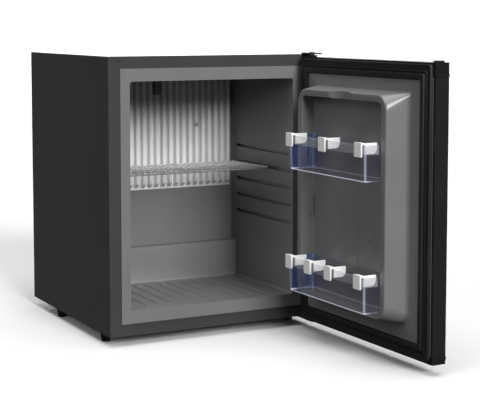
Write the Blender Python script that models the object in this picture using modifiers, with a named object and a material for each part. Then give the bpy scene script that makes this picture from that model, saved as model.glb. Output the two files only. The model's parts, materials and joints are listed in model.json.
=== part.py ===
"""A free-standing absorption minibar fridge, built piece by piece with its door open.

Lengths are in metres. Every piece of the cabinet is placed from the middle of the cabinet's front, at the
underside of its body: x to the right, y to the back, z up. The door's pieces are placed from the middle of
the door's inner face, as the door lies when it is closed, and ride on the hinge.
"""

import math

import bmesh
import bpy
from mathutils import Matrix, Vector

# Clearances and sheet thicknesses
GAP = 0.0003  # between neighbouring pieces that touch on the real object
RUNNING_GAP = 0.0004  # between pieces that turn or slide on each other
SHEET = 0.0008  # powder-coated steel sheet
LINER_WALL = 0.0016  # vacuum-formed plastic sheet
OVERRUN = 0.006  # how far a cutting shape reaches past the face that it opens

# Cabinet body
CABINET_WIDTH = 0.402
CABINET_DEPTH = 0.400
BODY_HEIGHT = 0.488
EDGE_RADIUS = 0.0025
FRAME_OPENING_CLEARANCE = 0.0015  # between the steel frame's opening and the liner that passes through it

# Liner and its opening
SIDE_WALL = 0.0390  # from the cabinet's side to the opening
TOP_WALL = 0.0437  # from the cabinet's top down to the opening
OPENING_BOTTOM = 0.0446
OPENING_RADIUS = 0.0045
COMPARTMENT_DEPTH = 0.1092  # behind the insulation, for the cooling unit
LINER_DRAFT = 0.003  # each side wall leans in by this much at the back
FLANGE_SIDE = 0.0175
FLANGE_TOP = 0.0223
FLANGE_BOTTOM = 0.0230
FLANGE_THICKNESS = 0.0015
STEP_DEPTH = 0.018
STEP_TOP = 0.1145
GROOVE_COUNT = 5
GROOVE_DROP = 0.1402  # from the opening's top to the uppermost groove
GROOVE_PITCH = 0.0322
GROOVE_HEIGHT = 0.0060
GROOVE_DEPTH = 0.0045  # measured at the front of the wall, where the liner is widest
GROOVE_FRONT = 0.008
GROOVE_REAR_MARGIN = 0.023
FLOOR_RIB_COUNT = 11
FLOOR_RIB_SIDE_MARGIN = 0.042  # from the opening's side to the first rib's middle
FLOOR_RIB_WIDTH = 0.0030
FLOOR_RIB_HEIGHT = 0.0012
FLOOR_RIB_FRONT = 0.030
FLOOR_RIB_REAR_MARGIN = 0.017  # in front of the step
BACK_INSULATION = 0.050

# Evaporator plate
RIB_COUNT = 22
RIB_DEPTH = 0.0115
RIB_CREST = 0.0062  # width of a rib's flat front
RIB_SLOPE = 0.0018  # sideways run of a rib's flank
RIB_FOOT = 0.0120  # height over which a rib fades into the plate at its lower end
PLATE_EDGE = 0.0035  # flat edge beside the outermost ribs
PLATE_THICKNESS = 0.0010
PLATE_HEIGHT = 0.2120
PLATE_TOP_MARGIN = 0.0093  # below the opening's top
EVAPORATOR_SCREW_RIB = 16  # counted from the left, from nought
EVAPORATOR_SCREW_DROP = 0.0880  # below the plate's top
SENSOR_CLIP_RIB = 10
SENSOR_CLIP_LENGTH = 0.028
SENSOR_CLIP_FRONT = 0.0050
SENSOR_CLIP_WALL = 0.0011
SENSOR_CLIP_EDGE = 0.0006

# Drain
DRAIN_SIDE_INSET = 0.095  # from the cabinet's side
DRAIN_FROM_STEP = 0.0075  # behind the step's front
DRAIN_RADIUS = 0.0035
DRAIN_TUBE_RADIUS = 0.0030
DRAIN_TUBE_WALL = 0.0008
DRAIN_TUBE_DROP = 0.030
DRAIN_TUBE_BEND = 0.009
DRAIN_TUBE_REACH = 0.012  # behind the back panel
DRIP_CUP_SIZE = (0.052, 0.026, 0.028)
DRIP_CUP_WALL = 0.0015
DRIP_CUP_Z = 0.036

# Feet
FOOT_HEIGHT = 0.018
FOOT_RADIUS = 0.0095
FOOT_SIDE_INSET = 0.015
FRONT_FOOT_Y = 0.058
REAR_FOOT_INSET = 0.0105  # in front of the cooling unit's compartment

# Door
DOOR_TOP_DROP = 0.0046  # below the cabinet's top
DOOR_THICKNESS = 0.028
DOOR_EDGE_RADIUS = 0.004
DOOR_STANDOFF = 0.0105  # from the cabinet's front to the door's inner face
DOOR_OPEN_DEGREES = 91.0
HINGE_EDGE_INSET = 0.0127  # the hinge axis, in from the door's side edge
HINGE_FACE_INSET = 0.0147  # the hinge axis, in from the door's inner face
TOP_CAP_HEIGHT = 0.0230
BOTTOM_CAP_HEIGHT = 0.0120
CAP_LIP = 0.0008
CAP_LIP_HEIGHT = 0.0055
PANEL_LIP = 0.0055  # the steel panel's lip round the inner face
PLATEAU_SIDE_MARGIN = 0.0330
PLATEAU_BOTTOM = 0.0300
PLATEAU_TOP_MARGIN = 0.0284
PLATEAU_LEVEL = 0.0050
PLATEAU_RADIUS = 0.004
RING_SIDE_MARGIN = 0.0241  # from the plateau's side to the ring's foot
RING_SIDE_DRAFT = 0.0084
RING_BOTTOM = 0.0530
RING_TOP_MARGIN = 0.0205  # below the plateau's top
RING_BOTTOM_DRAFT = 0.0110  # how far the lower side leans in between foot and crown
RING_TOP_DRAFT = 0.0045
RING_LEVEL = 0.0480
RING_RADIUS = 0.026
RING_CROWN_RADIUS = 0.0035
RING_SIDE_WALL = 0.0140  # width of the ring's crown at its sides
POCKET_BOTTOM = 0.0660
RING_TOP_WALL = 0.0165  # from the ring's foot down to the pocket
POCKET_LEVEL = 0.0220
POCKET_RADIUS = 0.010
BAND_WIDTH = 0.046
BAND_HEIGHT = 0.0015
BAND_BOTTOM = 0.100
BAND_TOP_MARGIN = 0.088  # below the pocket's top
BAND_RADIUS = 0.006
SCOOP_WIDTH = 0.066
SCOOP_DEPTH = 0.009

# Gasket, measured outwards from the edge of the door liner's plateau
GASKET_WIDTH = 0.0255
GASKET_BASE = 0.0030
GASKET_BULB_START = 0.0010
GASKET_BULB_WIDTH = 0.0095
GASKET_BULB_SHOULDER = 0.0014
GASKET_SQUEEZE_GAP = 0.0005  # what is left between the closed gasket and the liner's flange
GASKET_RIDGE_WIDTH = 0.0018
GASKET_RIDGE_HEIGHT = 0.0016
GASKET_RIDGES = (0.0125, 0.0232)

# Hinges
BRACKET_THICKNESS = 0.0028
BRACKET_EDGE_INSET = 0.0008  # from the cabinet's side
BRACKET_REACH = 0.0200  # past the hinge axis, to the front
BRACKET_CORNER = 0.008
BRACKET_LEG = 0.034
BRACKET_LEG_THICKNESS = 0.0020
BRACKET_TONGUE = 0.030  # how far the lower bracket reaches back under the cabinet
TOP_SCREWS = (0.010, 0.024)  # below the cabinet's top
BOTTOM_SCREWS = (0.009, 0.022)  # behind the cabinet's front
PIN_RADIUS = 0.0040
PIN_HEAD_RADIUS = 0.0065
PIN_HEAD = 0.0016
PIN_LENGTH = 0.016  # inside the door
BUSH_RADIUS = 0.0065
BUSH_FLANGE_RADIUS = 0.0090
BUSH_FLANGE = 0.0008
BUSH_FLOOR = 0.0020
SCREW_RADIUS = 0.0018
SCREW_HEAD_RADIUS = 0.0036
SCREW_HEAD = 0.0018
SCREW_LENGTH = 0.010
PLUG_HEAD = 0.0030
COVER_LEFT = 0.0132  # the cover plate, in from the cabinet's left side
COVER_WIDTH = 0.0160
COVER_HEIGHT = 0.0062
COVER_DROP = 0.0014
COVER_THICKNESS = 0.0008
COVER_CORNER = 0.0006

# Door bins
BIN_HEIGHT = 0.060
BIN_FRONT = 0.0780  # from the door's inner face to the rim's front
BIN_WALL = 0.0020
BIN_RADIUS = 0.0050
BIN_FLOOR_RADIUS = 0.0030
BIN_TAPER = 0.0020  # each wall leans in by this much at the bin's floor
BIN_RIM_HEIGHT = 0.0155
BIN_RIM_PROUD = 0.0010
BIN_SIDE_CLEARANCE = 0.0004
BIN_BACK_CLEARANCE = 0.0006
UPPER_BIN_DROP = 0.1280  # from the pocket's top to the bin's floor
LOWER_BIN_Z = 0.0750
SPARE_BOSS_RISE = 0.1315  # above the lower bin's floor
BOSS_HEIGHT = 0.036
BOSS_WIDTH = 0.0085
BOSS_PROUD = 0.0024
BOSS_FROM_CROWN = 0.0180  # from the ring's crown to the middle of a boss
BIN_HOOK = 0.0045  # height of the rim that rests on the bosses
CHANNEL_WALL = 0.0016

# Bottle clips
CLIP_LENGTH = 0.020
CLIP_HEIGHT = 0.0240
CLIP_WALL = 0.0018
CLIP_PLATE = 0.0032
CLIP_RISE = 0.0045  # above the bin's rim
CLIP_FLAG = 0.024
CLIP_FLAG_DROP = 0.019
CLIP_CORNER = 0.0010
CLIP_FLAG_CORNER = 0.009
CLIP_INNER_END = 0.004  # the inner leg ends this far past the clip's middle
CLIP_INNER_CLEARANCE = 0.0011
CLIP_HINGE_INSET = 0.0087  # from the bin's end at the hinge side to the last clip's middle
CLIP_HANDLE_INSET = 0.0142
UPPER_MIDDLE_CLIPS = (0.0045,)  # places along the rim, the hinge side being positive
LOWER_MIDDLE_CLIPS = (0.0480, -0.0160)

# Wire shelf
SHELF_GROOVE = 1  # counted from the top, the first being 0
SHELF_FRONT = 0.0860
SHELF_REAR_MARGIN = 0.0250  # in front of the liner's back
SHELF_SIDE_CLEARANCE = 0.0024
FRAME_WIRE_RADIUS = 0.0016
CROSS_WIRE_RADIUS = 0.0014
GRID_WIRE_RADIUS = 0.0010
GRID_WIRE_COUNT = 30
GRID_WIRE_SIDE_MARGIN = 0.01265  # from the opening's side to the first wire
GRID_WIRE_END = 0.7  # a wire ends this share of the frame wire's radius past its middle
GRID_WIRE_SINK = 0.0004  # how deep the welded wires sink into each other
SHELF_CORNER = 0.006

# Cooling unit in the rear compartment
UNIT_FROM_PANEL = 0.0542  # from the back panel to the middle of the unit's tubes
BOILER_SIDE_INSET = 0.083
BOILER_RADIUS = 0.031
BOILER_BOTTOM = 0.070
BOILER_TOP_DROP = 0.158  # below the cabinet's top
HEATER_RADIUS = 0.0065
HEATER_LENGTH = 0.030
PIPE_RADIUS = 0.0070
VAPOUR_BEND = 0.020
CONDENSER_DROP = 0.048
CONDENSER_SLOPE = 0.014
CONDENSER_FROM_BOILER = 0.058
CONDENSER_SIDE_INSET = 0.046
CONDENSER_FIN_COUNT = 12
CONDENSER_FIN_PITCH = 0.014
CONDENSER_FIN_THICKNESS = 0.0012
CONDENSER_FIN_WIDTH = 0.050
CONDENSER_FIN_HEIGHT = 0.042
COIL_FROM_BOILER = 0.078
COIL_SIDE_INSET = 0.051
COIL_TOP_DROP = 0.178
COIL_BOTTOM = 0.140
COIL_BENDS = 5
COIL_PIPE_RADIUS = 0.0085
VESSEL_RADIUS = 0.026
VESSEL_Z = 0.082
VESSEL_FROM_BOILER = 0.048
VESSEL_SIDE_INSET = 0.041
STRAP_WIDTH = 0.018
STRAP_THICKNESS = 0.0015
UPPER_STRAP_DROP = 0.188
LOWER_STRAP_Z = 0.120
CONTROL_BOX = (0.066, 0.060, 0.040)
CONTROL_BOX_SIDE_INSET = 0.038  # from the cabinet's side to the box's middle
CONTROL_BOX_Z = 0.006
CONTROL_BOX_CORNER = 0.003
KNOB_X = 0.0165  # from the box's middle
KNOB_RADIUS = 0.0110
KNOB_LENGTH = 0.0120
KNOB_POINTER_WIDTH = 0.0018
SPINDLE_RADIUS = 0.0030
SPINDLE_LENGTH = 0.0080
INLET_X = -0.0150  # from the box's middle
INLET_SIZE = (0.028, 0.018, 0.021)
INLET_WALL = 0.0018
INLET_RIM = 0.0015
INLET_CORNER = 0.002
INLET_PIN = (0.0020, 0.0065, 0.0040)
INLET_PIN_SPACING = 0.0070

# Places that follow from the sizes above
HALF_WIDTH = CABINET_WIDTH / 2
OPEN_ANGLE = math.radians(DOOR_OPEN_DEGREES)
WELD = 0.00001

# Cabinet and liner
OPENING_WIDTH = CABINET_WIDTH - 2 * SIDE_WALL
OPENING_TOP = BODY_HEIGHT - TOP_WALL
COMPARTMENT_FRONT = CABINET_DEPTH - COMPARTMENT_DEPTH
BACK_PANEL_Y = COMPARTMENT_FRONT - SHEET
LINER_DEPTH = BACK_PANEL_Y - BACK_INSULATION
STEP_FRONT = LINER_DEPTH - STEP_DEPTH
GROOVE_TOP_Z = OPENING_TOP - GROOVE_DROP
GROOVE_REAR = LINER_DEPTH - GROOVE_REAR_MARGIN
GROOVE_HALF_WIDTH = OPENING_WIDTH / 2 + GROOVE_DEPTH
FLOOR_RIB_PITCH = (OPENING_WIDTH - 2 * FLOOR_RIB_SIDE_MARGIN) / (FLOOR_RIB_COUNT - 1)
FLOOR_RIB_REAR = STEP_FRONT - FLOOR_RIB_REAR_MARGIN
DRAIN_X = HALF_WIDTH - DRAIN_SIDE_INSET
DRAIN_Y = STEP_FRONT + DRAIN_FROM_STEP
FOOT_X = HALF_WIDTH - FOOT_SIDE_INSET
REAR_FOOT_Y = COMPARTMENT_FRONT - REAR_FOOT_INSET

# Evaporator and shelf
PLATE_HALF_WIDTH = OPENING_WIDTH / 2 - LINER_DRAFT - OPENING_RADIUS - GAP
OUTER_RIB_X = PLATE_HALF_WIDTH - PLATE_EDGE - RIB_SLOPE - RIB_CREST / 2
RIB_PITCH = 2 * OUTER_RIB_X / (RIB_COUNT - 1)
PLATE_TOP = OPENING_TOP - PLATE_TOP_MARGIN
PLATE_BOTTOM = PLATE_TOP - PLATE_HEIGHT
EVAPORATOR_SCREW_Z = PLATE_TOP - EVAPORATOR_SCREW_DROP
PLATE_BACK = LINER_DEPTH - GAP
VALLEY_Y = PLATE_BACK - PLATE_THICKNESS
CREST_Y = VALLEY_Y - RIB_DEPTH
SHELF_Z = GROOVE_TOP_Z - SHELF_GROOVE * GROOVE_PITCH - GROOVE_HEIGHT / 2 + GAP + FRAME_WIRE_RADIUS
SHELF_REAR = LINER_DEPTH - SHELF_REAR_MARGIN
GRID_WIRE_PITCH = (OPENING_WIDTH - 2 * GRID_WIRE_SIDE_MARGIN) / (GRID_WIRE_COUNT - 1)

# Door
HINGE_X = HALF_WIDTH - HINGE_EDGE_INSET
HINGE_Y = -(DOOR_STANDOFF + HINGE_FACE_INSET)
DOOR_BOTTOM = RUNNING_GAP + BUSH_FLANGE
DOOR_TOP = BODY_HEIGHT - DOOR_TOP_DROP
PLATEAU_HALF_WIDTH = HALF_WIDTH - PLATEAU_SIDE_MARGIN
PLATEAU_TOP = DOOR_TOP - PLATEAU_TOP_MARGIN
RING_FOOT_HALF_WIDTH = PLATEAU_HALF_WIDTH - RING_SIDE_MARGIN
RING_CROWN_HALF_WIDTH = RING_FOOT_HALF_WIDTH - RING_SIDE_DRAFT
RING_TOP = PLATEAU_TOP - RING_TOP_MARGIN
POCKET_HALF_WIDTH = RING_CROWN_HALF_WIDTH - RING_SIDE_WALL
POCKET_TOP = RING_TOP - RING_TOP_WALL
BAND_TOP = POCKET_TOP - BAND_TOP_MARGIN
BRACKET_LEFT = OPENING_WIDTH / 2 + FLANGE_SIDE + 2 * GAP
BRACKET_RIGHT = HALF_WIDTH - BRACKET_EDGE_INSET
BIN_HALF_WIDTH = POCKET_HALF_WIDTH - BIN_SIDE_CLEARANCE
BIN_BODY_HALF_WIDTH = POCKET_HALF_WIDTH - BOSS_PROUD - BIN_SIDE_CLEARANCE
BIN_BACK = POCKET_LEVEL + BAND_HEIGHT + BIN_BACK_CLEARANCE
UPPER_BIN_Z = POCKET_TOP - UPPER_BIN_DROP
SPARE_BOSS_Z = LOWER_BIN_Z + SPARE_BOSS_RISE

# Cooling unit
UNIT_MIDDLE_Y = COMPARTMENT_FRONT + UNIT_FROM_PANEL
BOILER_X = -HALF_WIDTH + BOILER_SIDE_INSET
BOILER_TOP = BODY_HEIGHT - BOILER_TOP_DROP
CONDENSER_Z = BODY_HEIGHT - CONDENSER_DROP
CONDENSER_LEFT = BOILER_X + CONDENSER_FROM_BOILER
CONDENSER_RIGHT = HALF_WIDTH - CONDENSER_SIDE_INSET
COIL_LEFT = BOILER_X + COIL_FROM_BOILER
COIL_RIGHT = HALF_WIDTH - COIL_SIDE_INSET
COIL_TOP = BODY_HEIGHT - COIL_TOP_DROP
VESSEL_LEFT = BOILER_X + VESSEL_FROM_BOILER
VESSEL_RIGHT = HALF_WIDTH - VESSEL_SIDE_INSET
UPPER_STRAP_Z = BODY_HEIGHT - UPPER_STRAP_DROP
CONTROL_BOX_X = -HALF_WIDTH + CONTROL_BOX_SIDE_INSET


def open_door_corner():
    """The front-most point of the open door, seen from above, in the cabinet's own axes."""
    across = CABINET_WIDTH - HINGE_EDGE_INSET + CAP_LIP
    return HINGE_Y - across * math.sin(OPEN_ANGLE) + HINGE_FACE_INSET * math.cos(OPEN_ANGLE)


# The origin is under the middle of the whole footprint, with the door open
FRONT_Y = -(open_door_corner() + CABINET_DEPTH) / 2


def clear_scene():
    for leftover in list(bpy.data.objects):
        bpy.data.objects.remove(leftover, do_unlink=True)


clear_scene()
parts = bpy.data.collections.new("minibar_fridge")
cutters = bpy.data.collections.new("cutters")
bpy.context.scene.collection.children.link(parts)
bpy.context.scene.collection.children.link(cutters)


def finish(name, colour, roughness, metallic=0.0, alpha=1.0):
    """A plain Principled material."""
    material = bpy.data.materials.new(name)
    material.use_nodes = True
    shader = material.node_tree.nodes["Principled BSDF"]
    shader.inputs["Base Color"].default_value = (*colour, 1.0)
    shader.inputs["Roughness"].default_value = roughness
    shader.inputs["Metallic"].default_value = metallic
    shader.inputs["Alpha"].default_value = alpha
    return material


COATED_STEEL = finish("black_coated_steel", (0.022, 0.022, 0.024), 0.45)
LINER_PLASTIC = finish("grey_moulded_liner", (0.150, 0.150, 0.152), 0.40)
EVAPORATOR_METAL = finish("silver_evaporator", (0.62, 0.62, 0.61), 0.35, 0.8)
BLACK_PLASTIC = finish("black_plastic", (0.012, 0.012, 0.013), 0.35)
GASKET_RUBBER = finish("black_gasket", (0.010, 0.010, 0.011), 0.60)
FOAM = finish("insulation_foam", (0.75, 0.66, 0.42), 0.95)
ZINC = finish("zinc_plated_steel", (0.55, 0.55, 0.56), 0.35, 1.0)
CHROME_WIRE = finish("chromed_wire", (0.70, 0.70, 0.70), 0.18, 1.0)
CLEAR_BLUE = finish("clear_blue_plastic", (0.20, 0.26, 0.45), 0.10, 0.0, 0.45)
WHITE_PLASTIC = finish("white_plastic", (0.78, 0.78, 0.78), 0.35)
UNIT_STEEL = finish("black_unit_steel", (0.03, 0.03, 0.032), 0.50, 0.3)


def frame(name, location, parent=None, turn=0.0):
    """An empty that carries pieces."""
    empty = bpy.data.objects.new(name, None)
    empty.location = location
    empty.rotation_euler = (0.0, 0.0, turn)
    empty.parent = parent
    parts.objects.link(empty)
    return empty


CABINET = frame("cabinet_frame", (0.0, FRONT_Y, FOOT_HEIGHT))
DOOR_HINGE = frame("door_hinge", (HINGE_X, HINGE_Y, 0.0), CABINET, OPEN_ANGLE)
DOOR = frame("door_leaf", (-HINGE_X, HINGE_FACE_INSET, 0.0), DOOR_HINGE)


def place(name, bm, material, parent, at=(0.0, 0.0, 0.0), cutter=False):
    """Turns a finished bmesh into an object."""
    bmesh.ops.recalc_face_normals(bm, faces=bm.faces)
    mesh = bpy.data.meshes.new(name)
    bm.to_mesh(mesh)
    bm.free()
    if material:
        mesh.materials.append(material)
    piece = bpy.data.objects.new(name, mesh)
    piece.parent = parent
    piece.location = at
    if cutter:
        piece.hide_render = True
        piece.display_type = "WIRE"
        cutters.objects.link(piece)
    else:
        parts.objects.link(piece)
    return piece


def guide(name, bm, parent, at=(0.0, 0.0, 0.0)):
    """A shape that only cuts or joins another."""
    return place(name, bm, None, parent, at, cutter=True)


def combine(piece, other, operation):
    step = piece.modifiers.new(other.name, "BOOLEAN")
    step.operation = operation
    step.object = other
    step.solver = "EXACT"


def cut(piece, *others):
    for other in others:
        combine(piece, other, "DIFFERENCE")


def join(piece, *others):
    for other in others:
        combine(piece, other, "UNION")


def smooth(piece, degrees=35.0):
    """Round faces are shaded smooth, edges sharper than the angle stay sharp."""
    piece.data.shade_smooth()
    piece.data.set_sharp_from_angle(angle=math.radians(degrees))


def round_edges(bm, edges, radius, segments):
    if edges and radius > 0:
        bmesh.ops.bevel(
            bm, geom=list(edges), offset=radius, offset_type="OFFSET", segments=segments,
            profile=0.5, affect="EDGES", clamp_overlap=True,
        )


def edges_along(bm, axis, keep=None):
    """The straight edges that run along an axis, or only those whose middle passes a test."""
    number = "xyz".index(axis)
    found = []
    for edge in bm.edges:
        run = edge.verts[1].co - edge.verts[0].co
        middle = (edge.verts[0].co + edge.verts[1].co) / 2
        if abs(run[number]) > 0.99 * run.length and (keep is None or keep(middle)):
            found.append(edge)
    return found


def block(low, high, radius=0.0, along="", segments=3):
    """A box between two corners, with the edges along the named axes rounded."""
    bm = bmesh.new()
    bmesh.ops.create_cube(bm, size=1.0)
    low = Vector(low)
    high = Vector(high)
    bmesh.ops.scale(bm, vec=high - low, verts=bm.verts)
    bmesh.ops.translate(bm, vec=(low + high) / 2, verts=bm.verts)
    edges = [edge for axis in along for edge in edges_along(bm, axis)]
    round_edges(bm, edges, radius, segments)
    return bm


def add_block(bm, low, high):
    """Adds one more separate box to a bmesh."""
    made = bmesh.ops.create_cube(bm, size=1.0)
    low = Vector(low)
    high = Vector(high)
    bmesh.ops.scale(bm, vec=high - low, verts=made["verts"])
    bmesh.ops.translate(bm, vec=(low + high) / 2, verts=made["verts"])


def add_rod(bm, radius, start, end, segments=16, end_radius=None):
    """Adds a round bar between two points."""
    start = Vector(start)
    end = Vector(end)
    run = end - start
    turn = run.to_track_quat("Z", "Y").to_matrix().to_4x4()
    bmesh.ops.create_cone(
        bm, cap_ends=True, segments=segments, radius1=radius,
        radius2=radius if end_radius is None else end_radius, depth=run.length,
        matrix=Matrix.Translation((start + end) / 2) @ turn,
    )


def rod(radius, start, end, segments=16, end_radius=None):
    bm = bmesh.new()
    add_rod(bm, radius, start, end, segments, end_radius)
    return bm


def turned(name, profile, material, parent, at, segments=20, axis="Z"):
    """A turned piece: the profile's (radius, height) points run down its outer side."""
    mesh = bpy.data.meshes.new(name)
    points = [(radius, 0.0, height) for radius, height in profile]
    mesh.from_pydata(points, [(i, i + 1) for i in range(len(points) - 1)], [])
    mesh.materials.append(material)
    piece = bpy.data.objects.new(name, mesh)
    piece.parent = parent
    piece.location = at
    if axis == "Y":
        piece.rotation_euler = (math.radians(-90.0), 0.0, 0.0)
    parts.objects.link(piece)
    screw = piece.modifiers.new("turn", "SCREW")
    screw.steps = segments
    screw.render_steps = segments
    screw.use_merge_vertices = True
    screw.merge_threshold = 0.00005
    screw.use_smooth_shade = True
    return piece


def wire(name, points, radius, material, parent, resolution=1, closed=False):
    """A tube along a list of points."""
    curve = bpy.data.curves.new(name, "CURVE")
    curve.dimensions = "3D"
    curve.bevel_depth = radius
    curve.bevel_resolution = resolution
    curve.use_fill_caps = True
    spline = curve.splines.new("POLY")
    spline.points.add(len(points) - 1)
    for point, spot in zip(spline.points, points):
        point.co = (*spot, 1.0)
    spline.use_cyclic_u = closed
    curve.materials.append(material)
    tube = bpy.data.objects.new(name, curve)
    tube.parent = parent
    parts.objects.link(tube)
    return tube


def mesh_from_wire(tube, cutter=False):
    """Replaces a tube by a mesh with welded ends, so that it can be cut and joined."""
    bpy.context.view_layer.update()
    settled = tube.evaluated_get(bpy.context.evaluated_depsgraph_get())
    mesh = bpy.data.meshes.new_from_object(settled)
    bm = bmesh.new()
    bm.from_mesh(mesh)
    bmesh.ops.remove_doubles(bm, verts=bm.verts, dist=WELD)
    bpy.data.meshes.remove(mesh)
    name = tube.name
    parent = tube.parent
    material = tube.data.materials[0]
    bpy.data.objects.remove(tube, do_unlink=True)
    return place(name, bm, material, parent, cutter=cutter)


def arc(centre, radius, start, end, steps):
    """Points of an arc from one angle to another, in degrees."""
    points = []
    for i in range(steps + 1):
        angle = math.radians(start + (end - start) * i / steps)
        points.append((centre[0] + radius * math.cos(angle), centre[1] + radius * math.sin(angle)))
    return points


# Cabinet shell


def make_cabinet_wrap():
    """Sides, top and front frame, folded from one sheet, open below and behind."""
    outer = block((-HALF_WIDTH, 0.0, 0.0), (HALF_WIDTH, CABINET_DEPTH, BODY_HEIGHT))
    top_edges = edges_along(outer, "y", lambda middle: middle.z > BODY_HEIGHT / 2)
    round_edges(outer, top_edges, EDGE_RADIUS, 3)
    wrap = place("cabinet_wrap", outer, COATED_STEEL, CABINET)
    inside = block(
        (-HALF_WIDTH + SHEET, SHEET, -SHEET),
        (HALF_WIDTH - SHEET, CABINET_DEPTH + SHEET, BODY_HEIGHT - SHEET),
    )
    top_edges = edges_along(inside, "y", lambda middle: middle.z > BODY_HEIGHT / 2)
    round_edges(inside, top_edges, EDGE_RADIUS - SHEET, 3)
    cut(wrap, guide("wrap_inside", inside, CABINET))
    around = LINER_WALL + FRAME_OPENING_CLEARANCE
    opening = block(
        (-OPENING_WIDTH / 2 - around, -SHEET, OPENING_BOTTOM - around),
        (OPENING_WIDTH / 2 + around, 2 * SHEET, OPENING_TOP + around),
        OPENING_RADIUS, "y",
    )
    cut(wrap, guide("frame_opening", opening, CABINET))
    cut(wrap, guide("wrap_screw_holes", bracket_screw_ways(), CABINET))
    smooth(wrap)


def make_base_panel():
    """The floor under the insulation, with the lower bracket's screw holes."""
    base = block(
        (-HALF_WIDTH + SHEET + GAP, SHEET + GAP, 0.0),
        (HALF_WIDTH - SHEET - GAP, COMPARTMENT_FRONT + GAP, SHEET),
    )
    panel = place("base_panel", base, COATED_STEEL, CABINET)
    cut(panel, guide("base_screw_holes", bracket_screw_ways(), CABINET))


# Liner


def cavity(name, grow):
    """The space that the liner encloses, or its outer skin when it is grown by the wall.

    The walls lean in towards the back, the lower back is stepped, and the shelf grooves stand out sideways.
    """
    front = -OVERRUN - grow
    half = OPENING_WIDTH / 2 + grow
    room = block(
        (-half, front, OPENING_BOTTOM - grow), (half, LINER_DEPTH + grow, OPENING_TOP + grow)
    )
    for corner in room.verts:
        if corner.co.y > 0:
            corner.co.x -= math.copysign(LINER_DRAFT, corner.co.x)
    round_edges(room, edges_along(room, "y"), OPENING_RADIUS + grow, 3)
    back = [edge for edge in room.edges if all(v.co.y > LINER_DEPTH / 2 for v in edge.verts)]
    round_edges(room, back, OPENING_RADIUS + grow, 3)
    space = guide(name, room, CABINET)
    step = block(
        (-half - LINER_WALL, STEP_FRONT + grow, 0.0),
        (half + LINER_WALL, BACK_PANEL_Y, STEP_TOP - grow),
        OPENING_RADIUS - grow, "x",
    )
    cut(space, guide(name + "_step", step, CABINET))
    grooves = bmesh.new()
    for side in (-1, 1):
        for number in range(GROOVE_COUNT):
            z = GROOVE_TOP_Z - number * GROOVE_PITCH
            across = sorted((side * (half - LINER_DRAFT - LINER_WALL - OPENING_RADIUS),
                             side * (GROOVE_HALF_WIDTH + grow)))
            add_block(
                grooves,
                (across[0], GROOVE_FRONT - grow, z - GROOVE_HEIGHT / 2 - grow),
                (across[1], GROOVE_REAR + grow, z + GROOVE_HEIGHT / 2 + grow),
            )
    join(space, guide(name + "_grooves", grooves, CABINET))
    return space


def floor_ribs():
    """Low ribs that run from front to back on the liner's floor."""
    ribs = bmesh.new()
    for number in range(FLOOR_RIB_COUNT):
        x = (number - (FLOOR_RIB_COUNT - 1) / 2) * FLOOR_RIB_PITCH
        made = bmesh.ops.create_cube(ribs, size=1.0)["verts"]
        height = FLOOR_RIB_HEIGHT + LINER_WALL / 2
        size = (FLOOR_RIB_WIDTH, FLOOR_RIB_REAR - FLOOR_RIB_FRONT, height)
        bmesh.ops.scale(ribs, vec=size, verts=made)
        for corner in made:
            if corner.co.z > 0:
                corner.co.x *= 0.5
                corner.co.y -= math.copysign(FLOOR_RIB_HEIGHT, corner.co.y)
        middle = (x, (FLOOR_RIB_FRONT + FLOOR_RIB_REAR) / 2, OPENING_BOTTOM + FLOOR_RIB_HEIGHT - height / 2)
        bmesh.ops.translate(ribs, vec=middle, verts=made)
    return ribs


def make_inner_liner():
    """Flange, walls, grooves, floor and step of the moulded liner, in one skin."""
    flange = block(
        (-OPENING_WIDTH / 2 - FLANGE_SIDE, -GAP - FLANGE_THICKNESS, OPENING_BOTTOM - FLANGE_BOTTOM),
        (OPENING_WIDTH / 2 + FLANGE_SIDE, -GAP, OPENING_TOP + FLANGE_TOP),
    )
    liner = place("inner_liner", flange, LINER_PLASTIC, CABINET)
    join(liner, cavity("liner_skin", LINER_WALL))
    cut(liner, cavity("liner_room", 0.0))
    in_front = block(
        (-HALF_WIDTH, -3 * OVERRUN, 0.0), (HALF_WIDTH, -GAP - FLANGE_THICKNESS, BODY_HEIGHT)
    )
    cut(liner, guide("liner_front_trim", in_front, CABINET))
    join(liner, guide("floor_ribs", floor_ribs(), CABINET))
    below = (DRAIN_X, DRAIN_Y, STEP_TOP - 2 * LINER_WALL)
    hole = rod(DRAIN_RADIUS, below, (DRAIN_X, DRAIN_Y, STEP_TOP + LINER_WALL))
    cut(liner, guide("drain_hole", hole, CABINET))
    smooth(liner)


# Drain


def drain_path(extra=0.0):
    """The drain tube's middle line: down from the step, out through the back, and down over the cup."""
    top = STEP_TOP - LINER_WALL - GAP
    level = top - DRAIN_TUBE_DROP
    out = COMPARTMENT_FRONT + DRAIN_TUBE_REACH
    end = DRIP_CUP_Z + DRIP_CUP_SIZE[2] - DRAIN_TUBE_RADIUS
    first = arc((DRAIN_Y + DRAIN_TUBE_BEND, level + DRAIN_TUBE_BEND), DRAIN_TUBE_BEND, 180, 270, 4)
    second = arc((out - DRAIN_TUBE_BEND, level - DRAIN_TUBE_BEND), DRAIN_TUBE_BEND, 90, 0, 4)
    flat = [(DRAIN_Y, top + extra), *first, *second, (out, end - extra)]
    return [(DRAIN_X, y, z) for y, z in flat]


def drain_way(name, radius, extra=0.0):
    """The drain tube's route as a solid, to cut a way for it."""
    route = wire(name, drain_path(extra), radius, ZINC, CABINET)
    return mesh_from_wire(route, cutter=True)


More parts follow.
